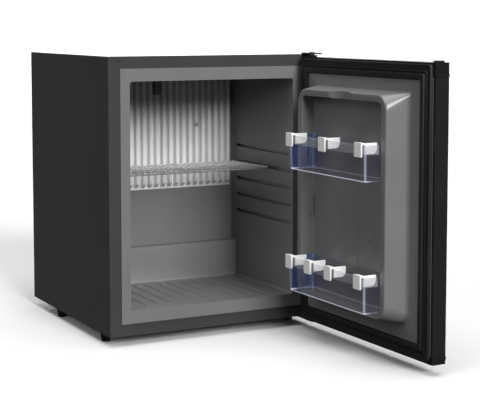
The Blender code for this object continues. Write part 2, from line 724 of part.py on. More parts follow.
def make_drain():
    """The tube from the step's hole, and the cup behind the back panel that it drips into."""
    tube = mesh_from_wire(wire("drain_tube", drain_path(), DRAIN_TUBE_RADIUS, BLACK_PLASTIC, CABINET))
    cut(tube, drain_way("drain_tube_bore", DRAIN_TUBE_RADIUS - DRAIN_TUBE_WALL, LINER_WALL / 2))
    smooth(tube)
    wide, deep, high = DRIP_CUP_SIZE
    front = COMPARTMENT_FRONT + GAP
    outside = block(
        (DRAIN_X - wide / 2, front, DRIP_CUP_Z),
        (DRAIN_X + wide / 2, front + deep, DRIP_CUP_Z + high),
        2 * DRIP_CUP_WALL, "z",
    )
    cup = place("drip_cup", outside, BLACK_PLASTIC, CABINET)
    wall = DRIP_CUP_WALL
    hollow = block(
        (DRAIN_X - wide / 2 + wall, front + wall, DRIP_CUP_Z + wall),
        (DRAIN_X + wide / 2 - wall, front + deep - wall, DRIP_CUP_Z + high + wall),
        wall, "z",
    )
    cut(cup, guide("drip_cup_hollow", hollow, CABINET))


# Insulation and its back panel


def make_back_panel():
    """The sheet that closes the insulation at the back, with the drain tube's hole."""
    panel = block(
        (-HALF_WIDTH + SHEET + GAP, BACK_PANEL_Y, SHEET + GAP),
        (HALF_WIDTH - SHEET - GAP, COMPARTMENT_FRONT, BODY_HEIGHT - SHEET - GAP),
        EDGE_RADIUS, "y",
    )
    piece = place("back_panel", panel, ZINC, CABINET)
    cut(piece, drain_way("back_panel_hole", DRAIN_TUBE_RADIUS + GAP))


def make_insulation_foam():
    """The foam that fills the space between the liner and the steel."""
    foam = block(
        (-HALF_WIDTH + SHEET + GAP, SHEET + GAP, SHEET + GAP),
        (HALF_WIDTH - SHEET - GAP, BACK_PANEL_Y - GAP, BODY_HEIGHT - SHEET - GAP),
        EDGE_RADIUS, "y",
    )
    piece = place("insulation_foam", foam, FOAM, CABINET)
    cut(piece, cavity("foam_hollow", LINER_WALL + GAP))
    cut(piece, drain_way("foam_drain_way", DRAIN_TUBE_RADIUS + GAP, 2 * LINER_WALL))
    cut(piece, guide("foam_screw_ways", bracket_screw_ways(), CABINET))


# Evaporator


def rib_x(number):
    """Middle of a rib, counted from the left, from nought."""
    return number * RIB_PITCH - OUTER_RIB_X


def make_evaporator_plate():
    """A sheet pressed into upright ribs that fade into the flat plate at their lower ends."""
    columns = []
    for number in range(RIB_COUNT):
        middle = rib_x(number)
        columns += [
            (middle - RIB_CREST / 2 - RIB_SLOPE, 0.0),
            (middle - RIB_CREST / 2, 1.0),
            (middle + RIB_CREST / 2, 1.0),
            (middle + RIB_CREST / 2 + RIB_SLOPE, 0.0),
        ]
    columns = [(-PLATE_HALF_WIDTH, 0.0), *columns, (PLATE_HALF_WIDTH, 0.0)]
    foot = 2 * PLATE_THICKNESS
    rows = [(PLATE_BOTTOM, 0.0), (PLATE_BOTTOM + foot, 0.0), (PLATE_BOTTOM + RIB_FOOT, 1.0), (PLATE_TOP, 1.0)]
    sheet = bmesh.new()
    bmesh.ops.create_grid(sheet, x_segments=len(columns) - 1, y_segments=len(rows) - 1, size=1.0)
    for corner in sheet.verts:
        x, across = columns[round((corner.co.x + 1) / 2 * (len(columns) - 1))]
        z, up = rows[round((corner.co.y + 1) / 2 * (len(rows) - 1))]
        corner.co = (x, VALLEY_Y - RIB_DEPTH * across * up, z)
    plate = place("evaporator_plate", sheet, EVAPORATOR_METAL, CABINET)
    thicken = plate.modifiers.new("thickness", "SOLIDIFY")
    thicken.thickness = PLATE_THICKNESS
    faces_forward = sum(face.normal.y for face in plate.data.polygons) < 0
    thicken.offset = -1.0 if faces_forward else 1.0
    screw_x = rib_x(EVAPORATOR_SCREW_RIB)
    hole = rod(
        SCREW_RADIUS + GAP,
        (screw_x, CREST_Y - PLATE_THICKNESS, EVAPORATOR_SCREW_Z),
        (screw_x, CREST_Y + 2 * PLATE_THICKNESS, EVAPORATOR_SCREW_Z),
        12,
    )
    cut(plate, guide("evaporator_screw_hole", hole, CABINET))
    length = PLATE_BACK - CREST_Y - GAP
    make_screw("evaporator_screw", (screw_x, CREST_Y, EVAPORATOR_SCREW_Z), (0.0, 1.0, 0.0), length)


def make_sensor_clip():
    """The thermostat's feeler in a clip that straddles a rib at the plate's top."""
    x = rib_x(SENSOR_CLIP_RIB)
    channel = RIB_CREST / 2 + RIB_SLOPE + GAP
    half = channel + SENSOR_CLIP_WALL
    seat = CREST_Y - GAP
    low = PLATE_TOP - SENSOR_CLIP_LENGTH
    body = block(
        (x - half, seat - SENSOR_CLIP_FRONT, low), (x + half, VALLEY_Y - GAP, PLATE_TOP),
        SENSOR_CLIP_EDGE, "z", 2,
    )
    clip = place("sensor_clip", body, BLACK_PLASTIC, CABINET)
    way = block((x - channel, seat, low - OVERRUN), (x + channel, VALLEY_Y + OVERRUN, PLATE_TOP + OVERRUN))
    cut(clip, guide("sensor_clip_channel", way, CABINET))


def make_screw(name, seat, inwards, length):
    """A screw whose head rests on a seat and whose shank runs inwards from it."""
    seat = Vector(seat)
    inwards = Vector(inwards)
    head_foot = seat - inwards * GAP
    head_top = head_foot - inwards * SCREW_HEAD
    head = rod(SCREW_HEAD_RADIUS * 0.7, head_top, head_foot, 16, SCREW_HEAD_RADIUS)
    screw = place(name, head, ZINC, CABINET)
    shank = rod(SCREW_RADIUS, head_top + inwards * SCREW_HEAD / 2, seat + inwards * length, 12)
    join(screw, guide(name + "_shank", shank, CABINET))
    smooth(screw)


# Feet


def make_feet():
    """Four turned feet under the base panel."""
    places = {
        "front_left_foot": (-FOOT_X, FRONT_FOOT_Y),
        "front_right_foot": (FOOT_X, FRONT_FOOT_Y),
        "rear_left_foot": (-FOOT_X, REAR_FOOT_Y),
        "rear_right_foot": (FOOT_X, REAR_FOOT_Y),
    }
    height = FOOT_HEIGHT - GAP
    profile = [
        (0.0, 0.0), (FOOT_RADIUS * 0.86, 0.0), (FOOT_RADIUS, -height * 0.30), (FOOT_RADIUS, -height * 0.45),
        (FOOT_RADIUS * 0.88, -height * 0.92), (FOOT_RADIUS * 0.80, -height), (0.0, -height),
    ]
    for name, (x, y) in places.items():
        turned(name, profile, BLACK_PLASTIC, CABINET, (x, y, -GAP))


# Hinges


def bracket_screws():
    """Seat and direction of the four screws that hold the two hinge brackets."""
    x = (BRACKET_LEFT + BRACKET_RIGHT) / 2
    front = -GAP - BRACKET_LEG_THICKNESS
    below = -GAP - BRACKET_THICKNESS
    top = [((x, front, BODY_HEIGHT - drop), (0.0, 1.0, 0.0)) for drop in TOP_SCREWS]
    bottom = [((x, back, below), (0.0, 0.0, 1.0)) for back in BOTTOM_SCREWS]
    return top + bottom


def bracket_screw_ways():
    """Bars that cut the holes for the bracket screws."""
    ways = bmesh.new()
    for seat, inwards in bracket_screws():
        start = Vector(seat) - Vector(inwards) * GAP
        end = Vector(seat) + Vector(inwards) * (SCREW_LENGTH + GAP)
        add_rod(ways, SCREW_RADIUS + GAP, start, end, 12)
    return ways


def make_brackets():
    """Two steel brackets: the upper one bent down the frame, the lower one flat under the cabinet."""
    tip = HINGE_Y - BRACKET_REACH
    leaf_z = BODY_HEIGHT + GAP
    leaf = block((BRACKET_LEFT, tip, leaf_z), (BRACKET_RIGHT, -GAP, leaf_z + BRACKET_THICKNESS))
    round_edges(leaf, edges_along(leaf, "z", lambda middle: middle.y < HINGE_Y), BRACKET_CORNER, 4)
    upper = place("top_hinge_bracket", leaf, COATED_STEEL, CABINET)
    leg = block(
        (BRACKET_LEFT, -GAP - BRACKET_LEG_THICKNESS, BODY_HEIGHT - BRACKET_LEG),
        (BRACKET_RIGHT, -GAP, leaf_z + BRACKET_THICKNESS / 2),
    )
    join(upper, guide("top_bracket_leg", leg, CABINET))
    plate = block((BRACKET_LEFT, tip, -GAP - BRACKET_THICKNESS), (BRACKET_RIGHT, BRACKET_TONGUE, -GAP))
    round_edges(plate, edges_along(plate, "z", lambda middle: middle.y < HINGE_Y), BRACKET_CORNER, 4)
    lower = place("bottom_hinge_bracket", plate, COATED_STEEL, CABINET)
    for bracket in (upper, lower):
        below = (HINGE_X, HINGE_Y, -FOOT_HEIGHT)
        pin_way = rod(PIN_RADIUS + GAP, below, (HINGE_X, HINGE_Y, BODY_HEIGHT + FOOT_HEIGHT), 24)
        cut(bracket, guide(bracket.name + "_pin_hole", pin_way, CABINET))
        cut(bracket, guide(bracket.name + "_screw_holes", bracket_screw_ways(), CABINET))
        smooth(bracket)
    names = ("top_bracket_screw_upper", "top_bracket_screw_lower",
             "bottom_bracket_screw_front", "bottom_bracket_screw_rear")
    for name, (seat, inwards) in zip(names, bracket_screws()):
        make_screw(name, seat, inwards, SCREW_LENGTH)


def make_hinge_pins():
    """Headed pins that pass through the brackets into the door's bushes."""
    head = [
        (0.0, PIN_HEAD), (PIN_HEAD_RADIUS * 0.8, PIN_HEAD), (PIN_HEAD_RADIUS, PIN_HEAD * 0.5),
        (PIN_HEAD_RADIUS, 0.0), (PIN_RADIUS, 0.0),
    ]
    above = BODY_HEIGHT + BRACKET_THICKNESS + 2 * GAP
    down = above - (DOOR_TOP - PIN_LENGTH)
    profile = [*head, (PIN_RADIUS, -down), (0.0, -down)]
    turned("top_hinge_pin", profile, ZINC, CABINET, (HINGE_X, HINGE_Y, above))
    below = -BRACKET_THICKNESS - 2 * GAP
    up = DOOR_BOTTOM + PIN_LENGTH - below
    profile = [*head, (PIN_RADIUS, -up), (0.0, -up)]
    pin = turned("bottom_hinge_pin", profile, ZINC, CABINET, (HINGE_X, HINGE_Y, below))
    pin.rotation_euler = (math.pi, 0.0, 0.0)


def make_hinge_hole_cover():
    """The thin plate over the unused hinge fixing at the top left corner of the front."""
    left = -HALF_WIDTH + COVER_LEFT
    top = BODY_HEIGHT - COVER_DROP
    low = (left, -GAP - COVER_THICKNESS, top - COVER_HEIGHT)
    cover = block(low, (left + COVER_WIDTH, -GAP, top), COVER_CORNER, "y", 2)
    place("hinge_hole_cover", cover, BLACK_PLASTIC, CABINET)


# Cooling unit


def make_boiler():
    """The insulated boiler, the heater in its foot and the vapour pipe that leaves its top."""
    height = BOILER_TOP - BOILER_BOTTOM
    edge = BOILER_RADIUS / 10
    profile = [
        (0.0, height), (BOILER_RADIUS - edge, height), (BOILER_RADIUS, height - edge),
        (BOILER_RADIUS, edge), (BOILER_RADIUS - edge, 0.0), (0.0, 0.0),
    ]
    turned("boiler_jacket", profile, ZINC, CABINET, (BOILER_X, UNIT_MIDDLE_Y, BOILER_BOTTOM), 28)
    heater_top = BOILER_BOTTOM - GAP
    foot = (BOILER_X, UNIT_MIDDLE_Y, heater_top - HEATER_LENGTH)
    heater = rod(HEATER_RADIUS, foot, (BOILER_X, UNIT_MIDDLE_Y, heater_top))
    smooth(place("heater_cartridge", heater, ZINC, CABINET))
    level = CONDENSER_Z + CONDENSER_SLOPE
    corner = arc((BOILER_X + VAPOUR_BEND, level - VAPOUR_BEND), VAPOUR_BEND, 180, 90, 5)
    route = [(BOILER_X, BOILER_TOP + GAP), *corner, (CONDENSER_LEFT - GAP, level)]
    wire("vapour_pipe", [(x, UNIT_MIDDLE_Y, z) for x, z in route], PIPE_RADIUS, UNIT_STEEL, CABINET)


def make_condenser():
    """A sloping tube with upright fins, whose lower end turns into the insulation."""
    high = CONDENSER_Z + CONDENSER_SLOPE
    turn = arc((CONDENSER_RIGHT, UNIT_MIDDLE_Y - VAPOUR_BEND), VAPOUR_BEND, 90, 0, 5)
    route = [(CONDENSER_LEFT, UNIT_MIDDLE_Y, high), (CONDENSER_LEFT + PIPE_RADIUS, UNIT_MIDDLE_Y, high)]
    route += [(x, y, CONDENSER_Z) for x, y in turn]
    route.append((CONDENSER_RIGHT + VAPOUR_BEND, COMPARTMENT_FRONT + GAP, CONDENSER_Z))
    condenser = mesh_from_wire(wire("condenser", route, PIPE_RADIUS, UNIT_STEEL, CABINET))
    fins = bmesh.new()
    middle = (CONDENSER_LEFT + CONDENSER_RIGHT) / 2
    half = Vector((CONDENSER_FIN_THICKNESS, CONDENSER_FIN_WIDTH, CONDENSER_FIN_HEIGHT)) / 2
    for number in range(CONDENSER_FIN_COUNT):
        x = middle + (number - (CONDENSER_FIN_COUNT - 1) / 2) * CONDENSER_FIN_PITCH
        z = CONDENSER_Z + CONDENSER_SLOPE * (CONDENSER_RIGHT - x) / (CONDENSER_RIGHT - CONDENSER_LEFT)
        centre = Vector((x, UNIT_MIDDLE_Y, z))
        add_block(fins, centre - half, centre + half)
    join(condenser, guide("condenser_fins", fins, CABINET))
    smooth(condenser)


def make_absorber():
    """The coil that winds down from the boiler into the vessel, and the vessel itself."""
    spacing = (COIL_TOP - COIL_BOTTOM) / COIL_BENDS
    bend = spacing / 2
    route = [(BOILER_X + BOILER_RADIUS + GAP, COIL_TOP)]
    for number in range(COIL_BENDS):
        level = COIL_TOP - number * spacing
        if number % 2 == 0:
            route += arc((COIL_RIGHT - bend, level - bend), bend, 90, -90, 6)
        else:
            route += arc((COIL_LEFT + bend, level - bend), bend, 90, 270, 6)
    drop = 2 * COIL_PIPE_RADIUS
    route += arc((COIL_LEFT + drop, COIL_BOTTOM - drop), drop, 90, 180, 4)
    route.append((COIL_LEFT, VESSEL_Z + VESSEL_RADIUS + GAP))
    points = [(x, UNIT_MIDDLE_Y, z) for x, z in route]
    wire("absorber_coil", points, COIL_PIPE_RADIUS, UNIT_STEEL, CABINET)
    half = (VESSEL_RIGHT - VESSEL_LEFT) / 2
    dome = VESSEL_RADIUS / 3
    quarter = [(math.sin(math.radians(angle)), math.cos(math.radians(angle))) for angle in (30, 60, 90)]
    upper = [(VESSEL_RADIUS * out, half - dome + dome * up) for out, up in quarter]
    lower = [(radius, -height) for radius, height in reversed(upper)]
    middle = ((VESSEL_LEFT + VESSEL_RIGHT) / 2, UNIT_MIDDLE_Y, VESSEL_Z)
    profile = [(0.0, half), *upper, *lower, (0.0, -half)]
    vessel = turned("absorber_vessel", profile, UNIT_STEEL, CABINET, middle)
    vessel.rotation_euler = (0.0, math.radians(90.0), 0.0)
    start = (BOILER_X + BOILER_RADIUS + GAP, UNIT_MIDDLE_Y, VESSEL_Z)
    pipe = rod(PIPE_RADIUS, start, (VESSEL_LEFT - GAP, UNIT_MIDDLE_Y, VESSEL_Z))
    smooth(place("return_pipe", pipe, UNIT_STEEL, CABINET))


def make_straps():
    """Two flat bars across the compartment that the boiler rests against."""
    back = UNIT_MIDDLE_Y + BOILER_RADIUS + GAP
    inner = HALF_WIDTH - SHEET - GAP
    for name, z in (("upper_unit_strap", UPPER_STRAP_Z), ("lower_unit_strap", LOWER_STRAP_Z)):
        bar = block((-inner, back, z - STRAP_WIDTH / 2), (inner, back + STRAP_THICKNESS, z + STRAP_WIDTH / 2))
        place(name, bar, ZINC, CABINET)


def make_control_box():
    """The thermostat's housing on the back panel, with its knob and its inlet socket."""
    wide, deep, high = CONTROL_BOX
    front = COMPARTMENT_FRONT + GAP
    back = front + deep
    middle_z = CONTROL_BOX_Z + high / 2
    body = block(
        (CONTROL_BOX_X - wide / 2, front, CONTROL_BOX_Z),
        (CONTROL_BOX_X + wide / 2, back, CONTROL_BOX_Z + high),
        CONTROL_BOX_CORNER, "y",
    )
    box = place("control_box", body, BLACK_PLASTIC, CABINET)
    knob_x = CONTROL_BOX_X + KNOB_X
    bore = rod(
        SPINDLE_RADIUS + RUNNING_GAP, (knob_x, back - SPINDLE_LENGTH - RUNNING_GAP, middle_z),
        (knob_x, back + SPINDLE_LENGTH, middle_z), 24,
    )
    cut(box, guide("spindle_bore", bore, CABINET))
    make_knob((knob_x, back + RUNNING_GAP, middle_z))
    make_power_inlet(box, back, middle_z)


def make_knob(at):
    """A round knob on a spindle, with a raised pointer on its face."""
    length = KNOB_LENGTH
    profile = [
        (0.0, length), (KNOB_RADIUS * 0.88, length), (KNOB_RADIUS, length * 0.85),
        (KNOB_RADIUS, length * 0.08), (KNOB_RADIUS * 0.95, 0.0), (SPINDLE_RADIUS, 0.0),
        (SPINDLE_RADIUS, -SPINDLE_LENGTH), (0.0, -SPINDLE_LENGTH),
    ]
    knob = turned("thermostat_knob", profile, BLACK_PLASTIC, CABINET, at, axis="Y")
    half = KNOB_POINTER_WIDTH / 2
    pointer = block(
        (-half, -KNOB_RADIUS * 0.8, length / 2), (half, -KNOB_RADIUS * 0.2, length + KNOB_POINTER_WIDTH / 2)
    )
    mark = guide("knob_pointer", pointer, CABINET, at)
    mark.rotation_euler = knob.rotation_euler
    join(knob, mark)


def make_power_inlet(box, back, middle_z):
    """A three-pin inlet let into the control box, with a rim that rests on the box's face."""
    x = CONTROL_BOX_X + INLET_X
    wide, deep, high = INLET_SIZE
    pocket = block(
        (x - wide / 2 + INLET_RIM - GAP, back - deep - GAP, middle_z - high / 2 + INLET_RIM - GAP),
        (x + wide / 2 - INLET_RIM + GAP, back + deep, middle_z + high / 2 - INLET_RIM + GAP),
    )
    cut(box, guide("inlet_pocket", pocket, CABINET))
    rim = block(
        (x - wide / 2, back + GAP, middle_z - high / 2),
        (x + wide / 2, back + GAP + INLET_RIM, middle_z + high / 2),
        INLET_CORNER, "y", 2,
    )
    inlet = place("power_inlet", rim, BLACK_PLASTIC, CABINET)
    body = block(
        (x - wide / 2 + INLET_RIM, back - deep, middle_z - high / 2 + INLET_RIM),
        (x + wide / 2 - INLET_RIM, back + INLET_RIM, middle_z + high / 2 - INLET_RIM),
    )
    join(inlet, guide("inlet_body", body, CABINET))
    wall = INLET_RIM + INLET_WALL
    floor = back - deep + INLET_WALL
    mouth = block(
        (x - wide / 2 + wall, floor, middle_z - high / 2 + wall),
        (x + wide / 2 - wall, back + deep, middle_z + high / 2 - wall),
    )
    cut(inlet, guide("inlet_mouth", mouth, CABINET))
    pins = bmesh.new()
    pin_x, pin_y, pin_z = INLET_PIN
    for number in (-1, 0, 1):
        middle = x + number * INLET_PIN_SPACING
        up = middle_z + (pin_z / 2 if number == 0 else -pin_z / 4)
        add_block(
            pins, (middle - pin_x / 2, floor - INLET_WALL / 2, up - pin_z / 2),
            (middle + pin_x / 2, floor + pin_y, up + pin_z / 2),
        )
    join(inlet, guide("inlet_pins", pins, CABINET))


# Door leaf


def door_slice(low_z, high_z, inset):
    """A slice of the door's outline between two heights, with its two outer upright edges rounded."""
    half = HALF_WIDTH - inset
    body = block((-half, -DOOR_THICKNESS + inset, low_z), (half, -inset, high_z))
    outer = edges_along(body, "z", lambda middle: middle.y < -DOOR_THICKNESS / 2)
    round_edges(body, outer, DOOR_EDGE_RADIUS - inset, 3)
    return body


def make_door_panel():
    """The folded steel outer panel, with a lip round its inner face."""
    low = DOOR_BOTTOM + BOTTOM_CAP_HEIGHT + GAP
    high = DOOR_TOP - TOP_CAP_HEIGHT - GAP
    panel = place("door_panel", door_slice(low, high, 0.0), COATED_STEEL, DOOR)
    cut(panel, guide("door_panel_inside", door_slice(low - SHEET, high + SHEET, SHEET), DOOR))
    middle = block(
        (-HALF_WIDTH + PANEL_LIP, -2 * SHEET, low - SHEET), (HALF_WIDTH - PANEL_LIP, 2 * SHEET, high + SHEET)
    )
    cut(panel, guide("door_panel_middle", middle, DOOR))
    smooth(panel)


def hinge_holes(outside, inwards):
    """Round holes at both ends of the door's top or bottom, so that it can hang from either side."""
    depth = PIN_LENGTH + RUNNING_GAP + BUSH_FLOOR + GAP
    holes = bmesh.new()
    for side in (-1, 1):
        start = (side * HINGE_X, -HINGE_FACE_INSET, outside - inwards * depth)
        end = (side * HINGE_X, -HINGE_FACE_INSET, outside + inwards * depth)
        add_rod(holes, BUSH_RADIUS + GAP, start, end, 24)
    return holes


def make_door_cap(name, low, high, lip_low, outside, inwards):
    """A moulded cap across the door, with a proud lip beside the steel and a hinge hole at each end."""
    cap = place(name, door_slice(low, high, 0.0), BLACK_PLASTIC, DOOR)
    lip = door_slice(lip_low, lip_low + CAP_LIP_HEIGHT, -CAP_LIP)
    join(cap, guide(name + "_lip", lip, DOOR))
    trim = block((-CABINET_WIDTH, 0.0, low - CAP_LIP), (CABINET_WIDTH, 2 * CAP_LIP, high + CAP_LIP))
    cut(cap, guide(name + "_trim", trim, DOOR))
    cut(cap, guide(name + "_holes", hinge_holes(outside, inwards), DOOR))
    smooth(cap)


def make_door_caps():
    top_low = DOOR_TOP - TOP_CAP_HEIGHT
    make_door_cap("door_top_cap", top_low, DOOR_TOP, top_low, DOOR_TOP, -1)
    bottom_high = DOOR_BOTTOM + BOTTOM_CAP_HEIGHT
    lip_low = bottom_high - CAP_LIP_HEIGHT
    make_door_cap("door_bottom_cap", DOOR_BOTTOM, bottom_high, lip_low, DOOR_BOTTOM, 1)


def make_bushes_and_plugs():
    """Bushes that run on the hinge pins, and plugs in the same holes at the handle side."""
    depth = PIN_LENGTH + RUNNING_GAP
    bore = PIN_RADIUS + RUNNING_GAP
    foot = -depth - BUSH_FLOOR
    for end, z, flange in (("top", DOOR_TOP, PLUG_HEAD), ("bottom", DOOR_BOTTOM, BUSH_FLANGE)):
        bush = [
            (0.0, -depth), (bore, -depth), (bore, flange), (BUSH_FLANGE_RADIUS, flange),
            (BUSH_FLANGE_RADIUS, GAP), (BUSH_RADIUS, GAP), (BUSH_RADIUS, foot), (0.0, foot),
        ]
        plug = [
            (0.0, flange), (BUSH_FLANGE_RADIUS * 0.85, flange), (BUSH_FLANGE_RADIUS, flange * 0.7),
            (BUSH_FLANGE_RADIUS, GAP), (BUSH_RADIUS, GAP), (BUSH_RADIUS, foot), (0.0, foot),
        ]
        turn = (math.pi, 0.0, 0.0) if end == "bottom" else (0.0, 0.0, 0.0)
        made = turned(f"door_{end}_bush", bush, WHITE_PLASTIC, DOOR, (HINGE_X, -HINGE_FACE_INSET, z))
        made.rotation_euler = turn
        made = turned(f"door_{end}_plug", plug, BLACK_PLASTIC, DOOR, (-HINGE_X, -HINGE_FACE_INSET, z))
        made.rotation_euler = turn


# Door liner


def ring_block(inset):
    """The raised block that holds the bins: it narrows towards its crown and has large rounded corners."""
    crown = RING_LEVEL - inset
    body = block((-1.0, 0.0, 0.0), (1.0, crown, 1.0))
    for corner in body.verts:
        raised = corner.co.y > crown / 2
        half = (RING_CROWN_HALF_WIDTH if raised else RING_FOOT_HALF_WIDTH) - inset
        low = RING_BOTTOM + inset + (RING_BOTTOM_DRAFT if raised else 0.0)
        high = RING_TOP - inset - (RING_TOP_DRAFT if raised else 0.0)
        corner.co.x = math.copysign(half, corner.co.x)
        corner.co.z = high if corner.co.z > 0.5 else low
    rising = [edge for edge in body.edges if abs(edge.verts[0].co.y - edge.verts[1].co.y) > crown / 2]
    round_edges(body, rising, RING_RADIUS - inset, 7)
    rim = [edge for edge in body.edges if min(corner.co.y for corner in edge.verts) > crown - WELD]
    round_edges(body, rim, RING_CROWN_RADIUS - inset, 3)
    return body


def liner_form(name, inset, material=None):
    """The door liner's outer skin as a solid, or the space behind it when it is drawn in by the wall."""
    foot = -LINER_WALL if material else -3 * LINER_WALL
    plateau = block(
        (-PLATEAU_HALF_WIDTH + inset, foot, PLATEAU_BOTTOM + inset),
        (PLATEAU_HALF_WIDTH - inset, PLATEAU_LEVEL - inset, PLATEAU_TOP - inset),
        PLATEAU_RADIUS - inset, "y",
    )
    near_top = PLATEAU_LEVEL - inset - WELD
    rim = [edge for edge in plateau.edges if min(corner.co.y for corner in edge.verts) > near_top]
    round_edges(plateau, rim, LINER_WALL, 2)
    form = place(name, plateau, material, DOOR, cutter=material is None)
    join(form, guide(name + "_ring", ring_block(inset), DOOR))
    pocket = block(
        (-POCKET_HALF_WIDTH - inset, POCKET_LEVEL - inset, POCKET_BOTTOM - inset),
        (POCKET_HALF_WIDTH + inset, 2 * RING_LEVEL, POCKET_TOP + inset),
        POCKET_RADIUS + inset, "y", 5,
    )
    cut(form, guide(name + "_pocket", pocket, DOOR))
    band = block(
        (-BAND_WIDTH / 2 + inset, POCKET_LEVEL - inset - LINER_WALL, BAND_BOTTOM + inset),
        (BAND_WIDTH / 2 - inset, POCKET_LEVEL + BAND_HEIGHT - inset, BAND_TOP - inset),
        BAND_RADIUS - inset, "y",
    )
    join(form, guide(name + "_band", band, DOOR))
    radius = ((SCOOP_WIDTH / 2) ** 2 + SCOOP_DEPTH ** 2) / (2 * SCOOP_DEPTH)
    middle_y = RING_LEVEL - SCOOP_DEPTH + radius
    below = (0.0, middle_y, POCKET_TOP - 2 * LINER_WALL)
    scoop = rod(radius + inset, below, (0.0, middle_y, RING_TOP + 2 * LINER_WALL), 64)
    cut(form, guide(name + "_scoop", scoop, DOOR))
    return form


def boss_tops():
    """Heights of the bosses' upper ends: one pair under each bin's hooks and one spare pair."""
    hook = BIN_HEIGHT - BIN_HOOK - GAP
    return (UPPER_BIN_Z + hook, LOWER_BIN_Z + hook, SPARE_BOSS_Z + BOSS_HEIGHT)


def make_door_liner():
    """The vacuum-formed inner skin of the door: margin, plateau, ring, pocket, centre band and bosses."""
    liner = liner_form("door_liner", 0.0, LINER_PLASTIC)
    margin = block(
        (-HALF_WIDTH + PANEL_LIP + GAP, -LINER_WALL, DOOR_BOTTOM + BOTTOM_CAP_HEIGHT + GAP),
        (HALF_WIDTH - PANEL_LIP - GAP, 0.0, DOOR_TOP - TOP_CAP_HEIGHT - GAP),
    )
    join(liner, guide("door_liner_margin", margin, DOOR))
    middle = RING_LEVEL - BOSS_FROM_CROWN
    bosses = bmesh.new()
    for side in (-1, 1):
        for top in boss_tops():
            face = side * (POCKET_HALF_WIDTH - BOSS_PROUD)
            across = sorted((face, side * (POCKET_HALF_WIDTH + LINER_WALL / 2)))
            add_block(
                bosses, (across[0], middle - BOSS_WIDTH / 2, top - BOSS_HEIGHT),
                (across[1], middle + BOSS_WIDTH / 2, top),
            )
    join(liner, guide("bin_bosses", bosses, DOOR))
    cut(liner, liner_form("door_liner_inside", LINER_WALL))
    smooth(liner)


def make_door_foam():
    """The foam between the door's steel and its liner."""
    inset = SHEET + GAP
    slab = block(
        (-HALF_WIDTH + inset, -DOOR_THICKNESS + inset, DOOR_BOTTOM + BOTTOM_CAP_HEIGHT + GAP),
        (HALF_WIDTH - inset, -LINER_WALL - GAP, DOOR_TOP - TOP_CAP_HEIGHT - GAP),
    )
    outer = edges_along(slab, "z", lambda middle: middle.y < -DOOR_THICKNESS / 2)
    round_edges(slab, outer, DOOR_EDGE_RADIUS - inset, 3)
    foam = place("door_foam", slab, FOAM, DOOR)
    join(foam, liner_form("door_foam_form", LINER_WALL + GAP))
    cut(foam, guide("foam_hinge_holes", hinge_holes(DOOR_BOTTOM, 1), DOOR))


def gasket_ring(name, inner, outer, foot, height, material=None):
    """A square ring round the plateau, between two distances from the plateau's edge."""
    low = (-PLATEAU_HALF_WIDTH - outer, foot, PLATEAU_BOTTOM - outer)
    high = (PLATEAU_HALF_WIDTH + outer, height, PLATEAU_TOP + outer)
    ring = place(name, block(low, high), material, DOOR, cutter=material is None)
    low = (-PLATEAU_HALF_WIDTH - inner, foot - GASKET_BASE, PLATEAU_BOTTOM - inner)
    high = (PLATEAU_HALF_WIDTH + inner, height + GASKET_BASE, PLATEAU_TOP + inner)
    cut(ring, guide(name + "_middle", block(low, high), DOOR))
    return ring


def make_door_gasket():
    """The magnetic gasket: a flat base, a soft bulb that meets the cabinet, and two fine ridges."""
    gasket = gasket_ring("door_gasket", GAP, GASKET_WIDTH, GAP, GASKET_BASE, GASKET_RUBBER)
    height = DOOR_STANDOFF - FLANGE_THICKNESS - GAP - GASKET_SQUEEZE_GAP
    start = GASKET_BULB_START
    end = start + GASKET_BULB_WIDTH
    foot = GASKET_BASE / 2
    shoulder = GASKET_BULB_SHOULDER
    join(gasket, gasket_ring("gasket_bulb", start, end, foot, height - shoulder))
    join(gasket, gasket_ring("gasket_bulb_crown", start + shoulder, end - shoulder, foot, height))
    for number, start in enumerate(GASKET_RIDGES):
        top = GASKET_BASE + GASKET_RIDGE_HEIGHT
        ridge = gasket_ring(f"gasket_ridge_{number}", start, start + GASKET_RIDGE_WIDTH, foot, top)
        join(gasket, ridge)


# Door bins and their clips


def tapered_box(half, back, front, low, high, lean, radius, floor_radius):
    """An upright box whose four walls lean in towards its floor."""
    body = block((-half, back, low), (half, front, high))
    middle = (back + front) / 2
    for corner in body.verts:
        if corner.co.z < (low + high) / 2:
            corner.co.x -= math.copysign(lean, corner.co.x)
            corner.co.y -= math.copysign(lean, corner.co.y - middle)
    round_edges(body, edges_along(body, "z"), radius, 4)
    floor = [edge for edge in body.edges if max(corner.co.z for corner in edge.verts) < low + WELD]
    round_edges(body, floor, floor_radius, 2)
    return body


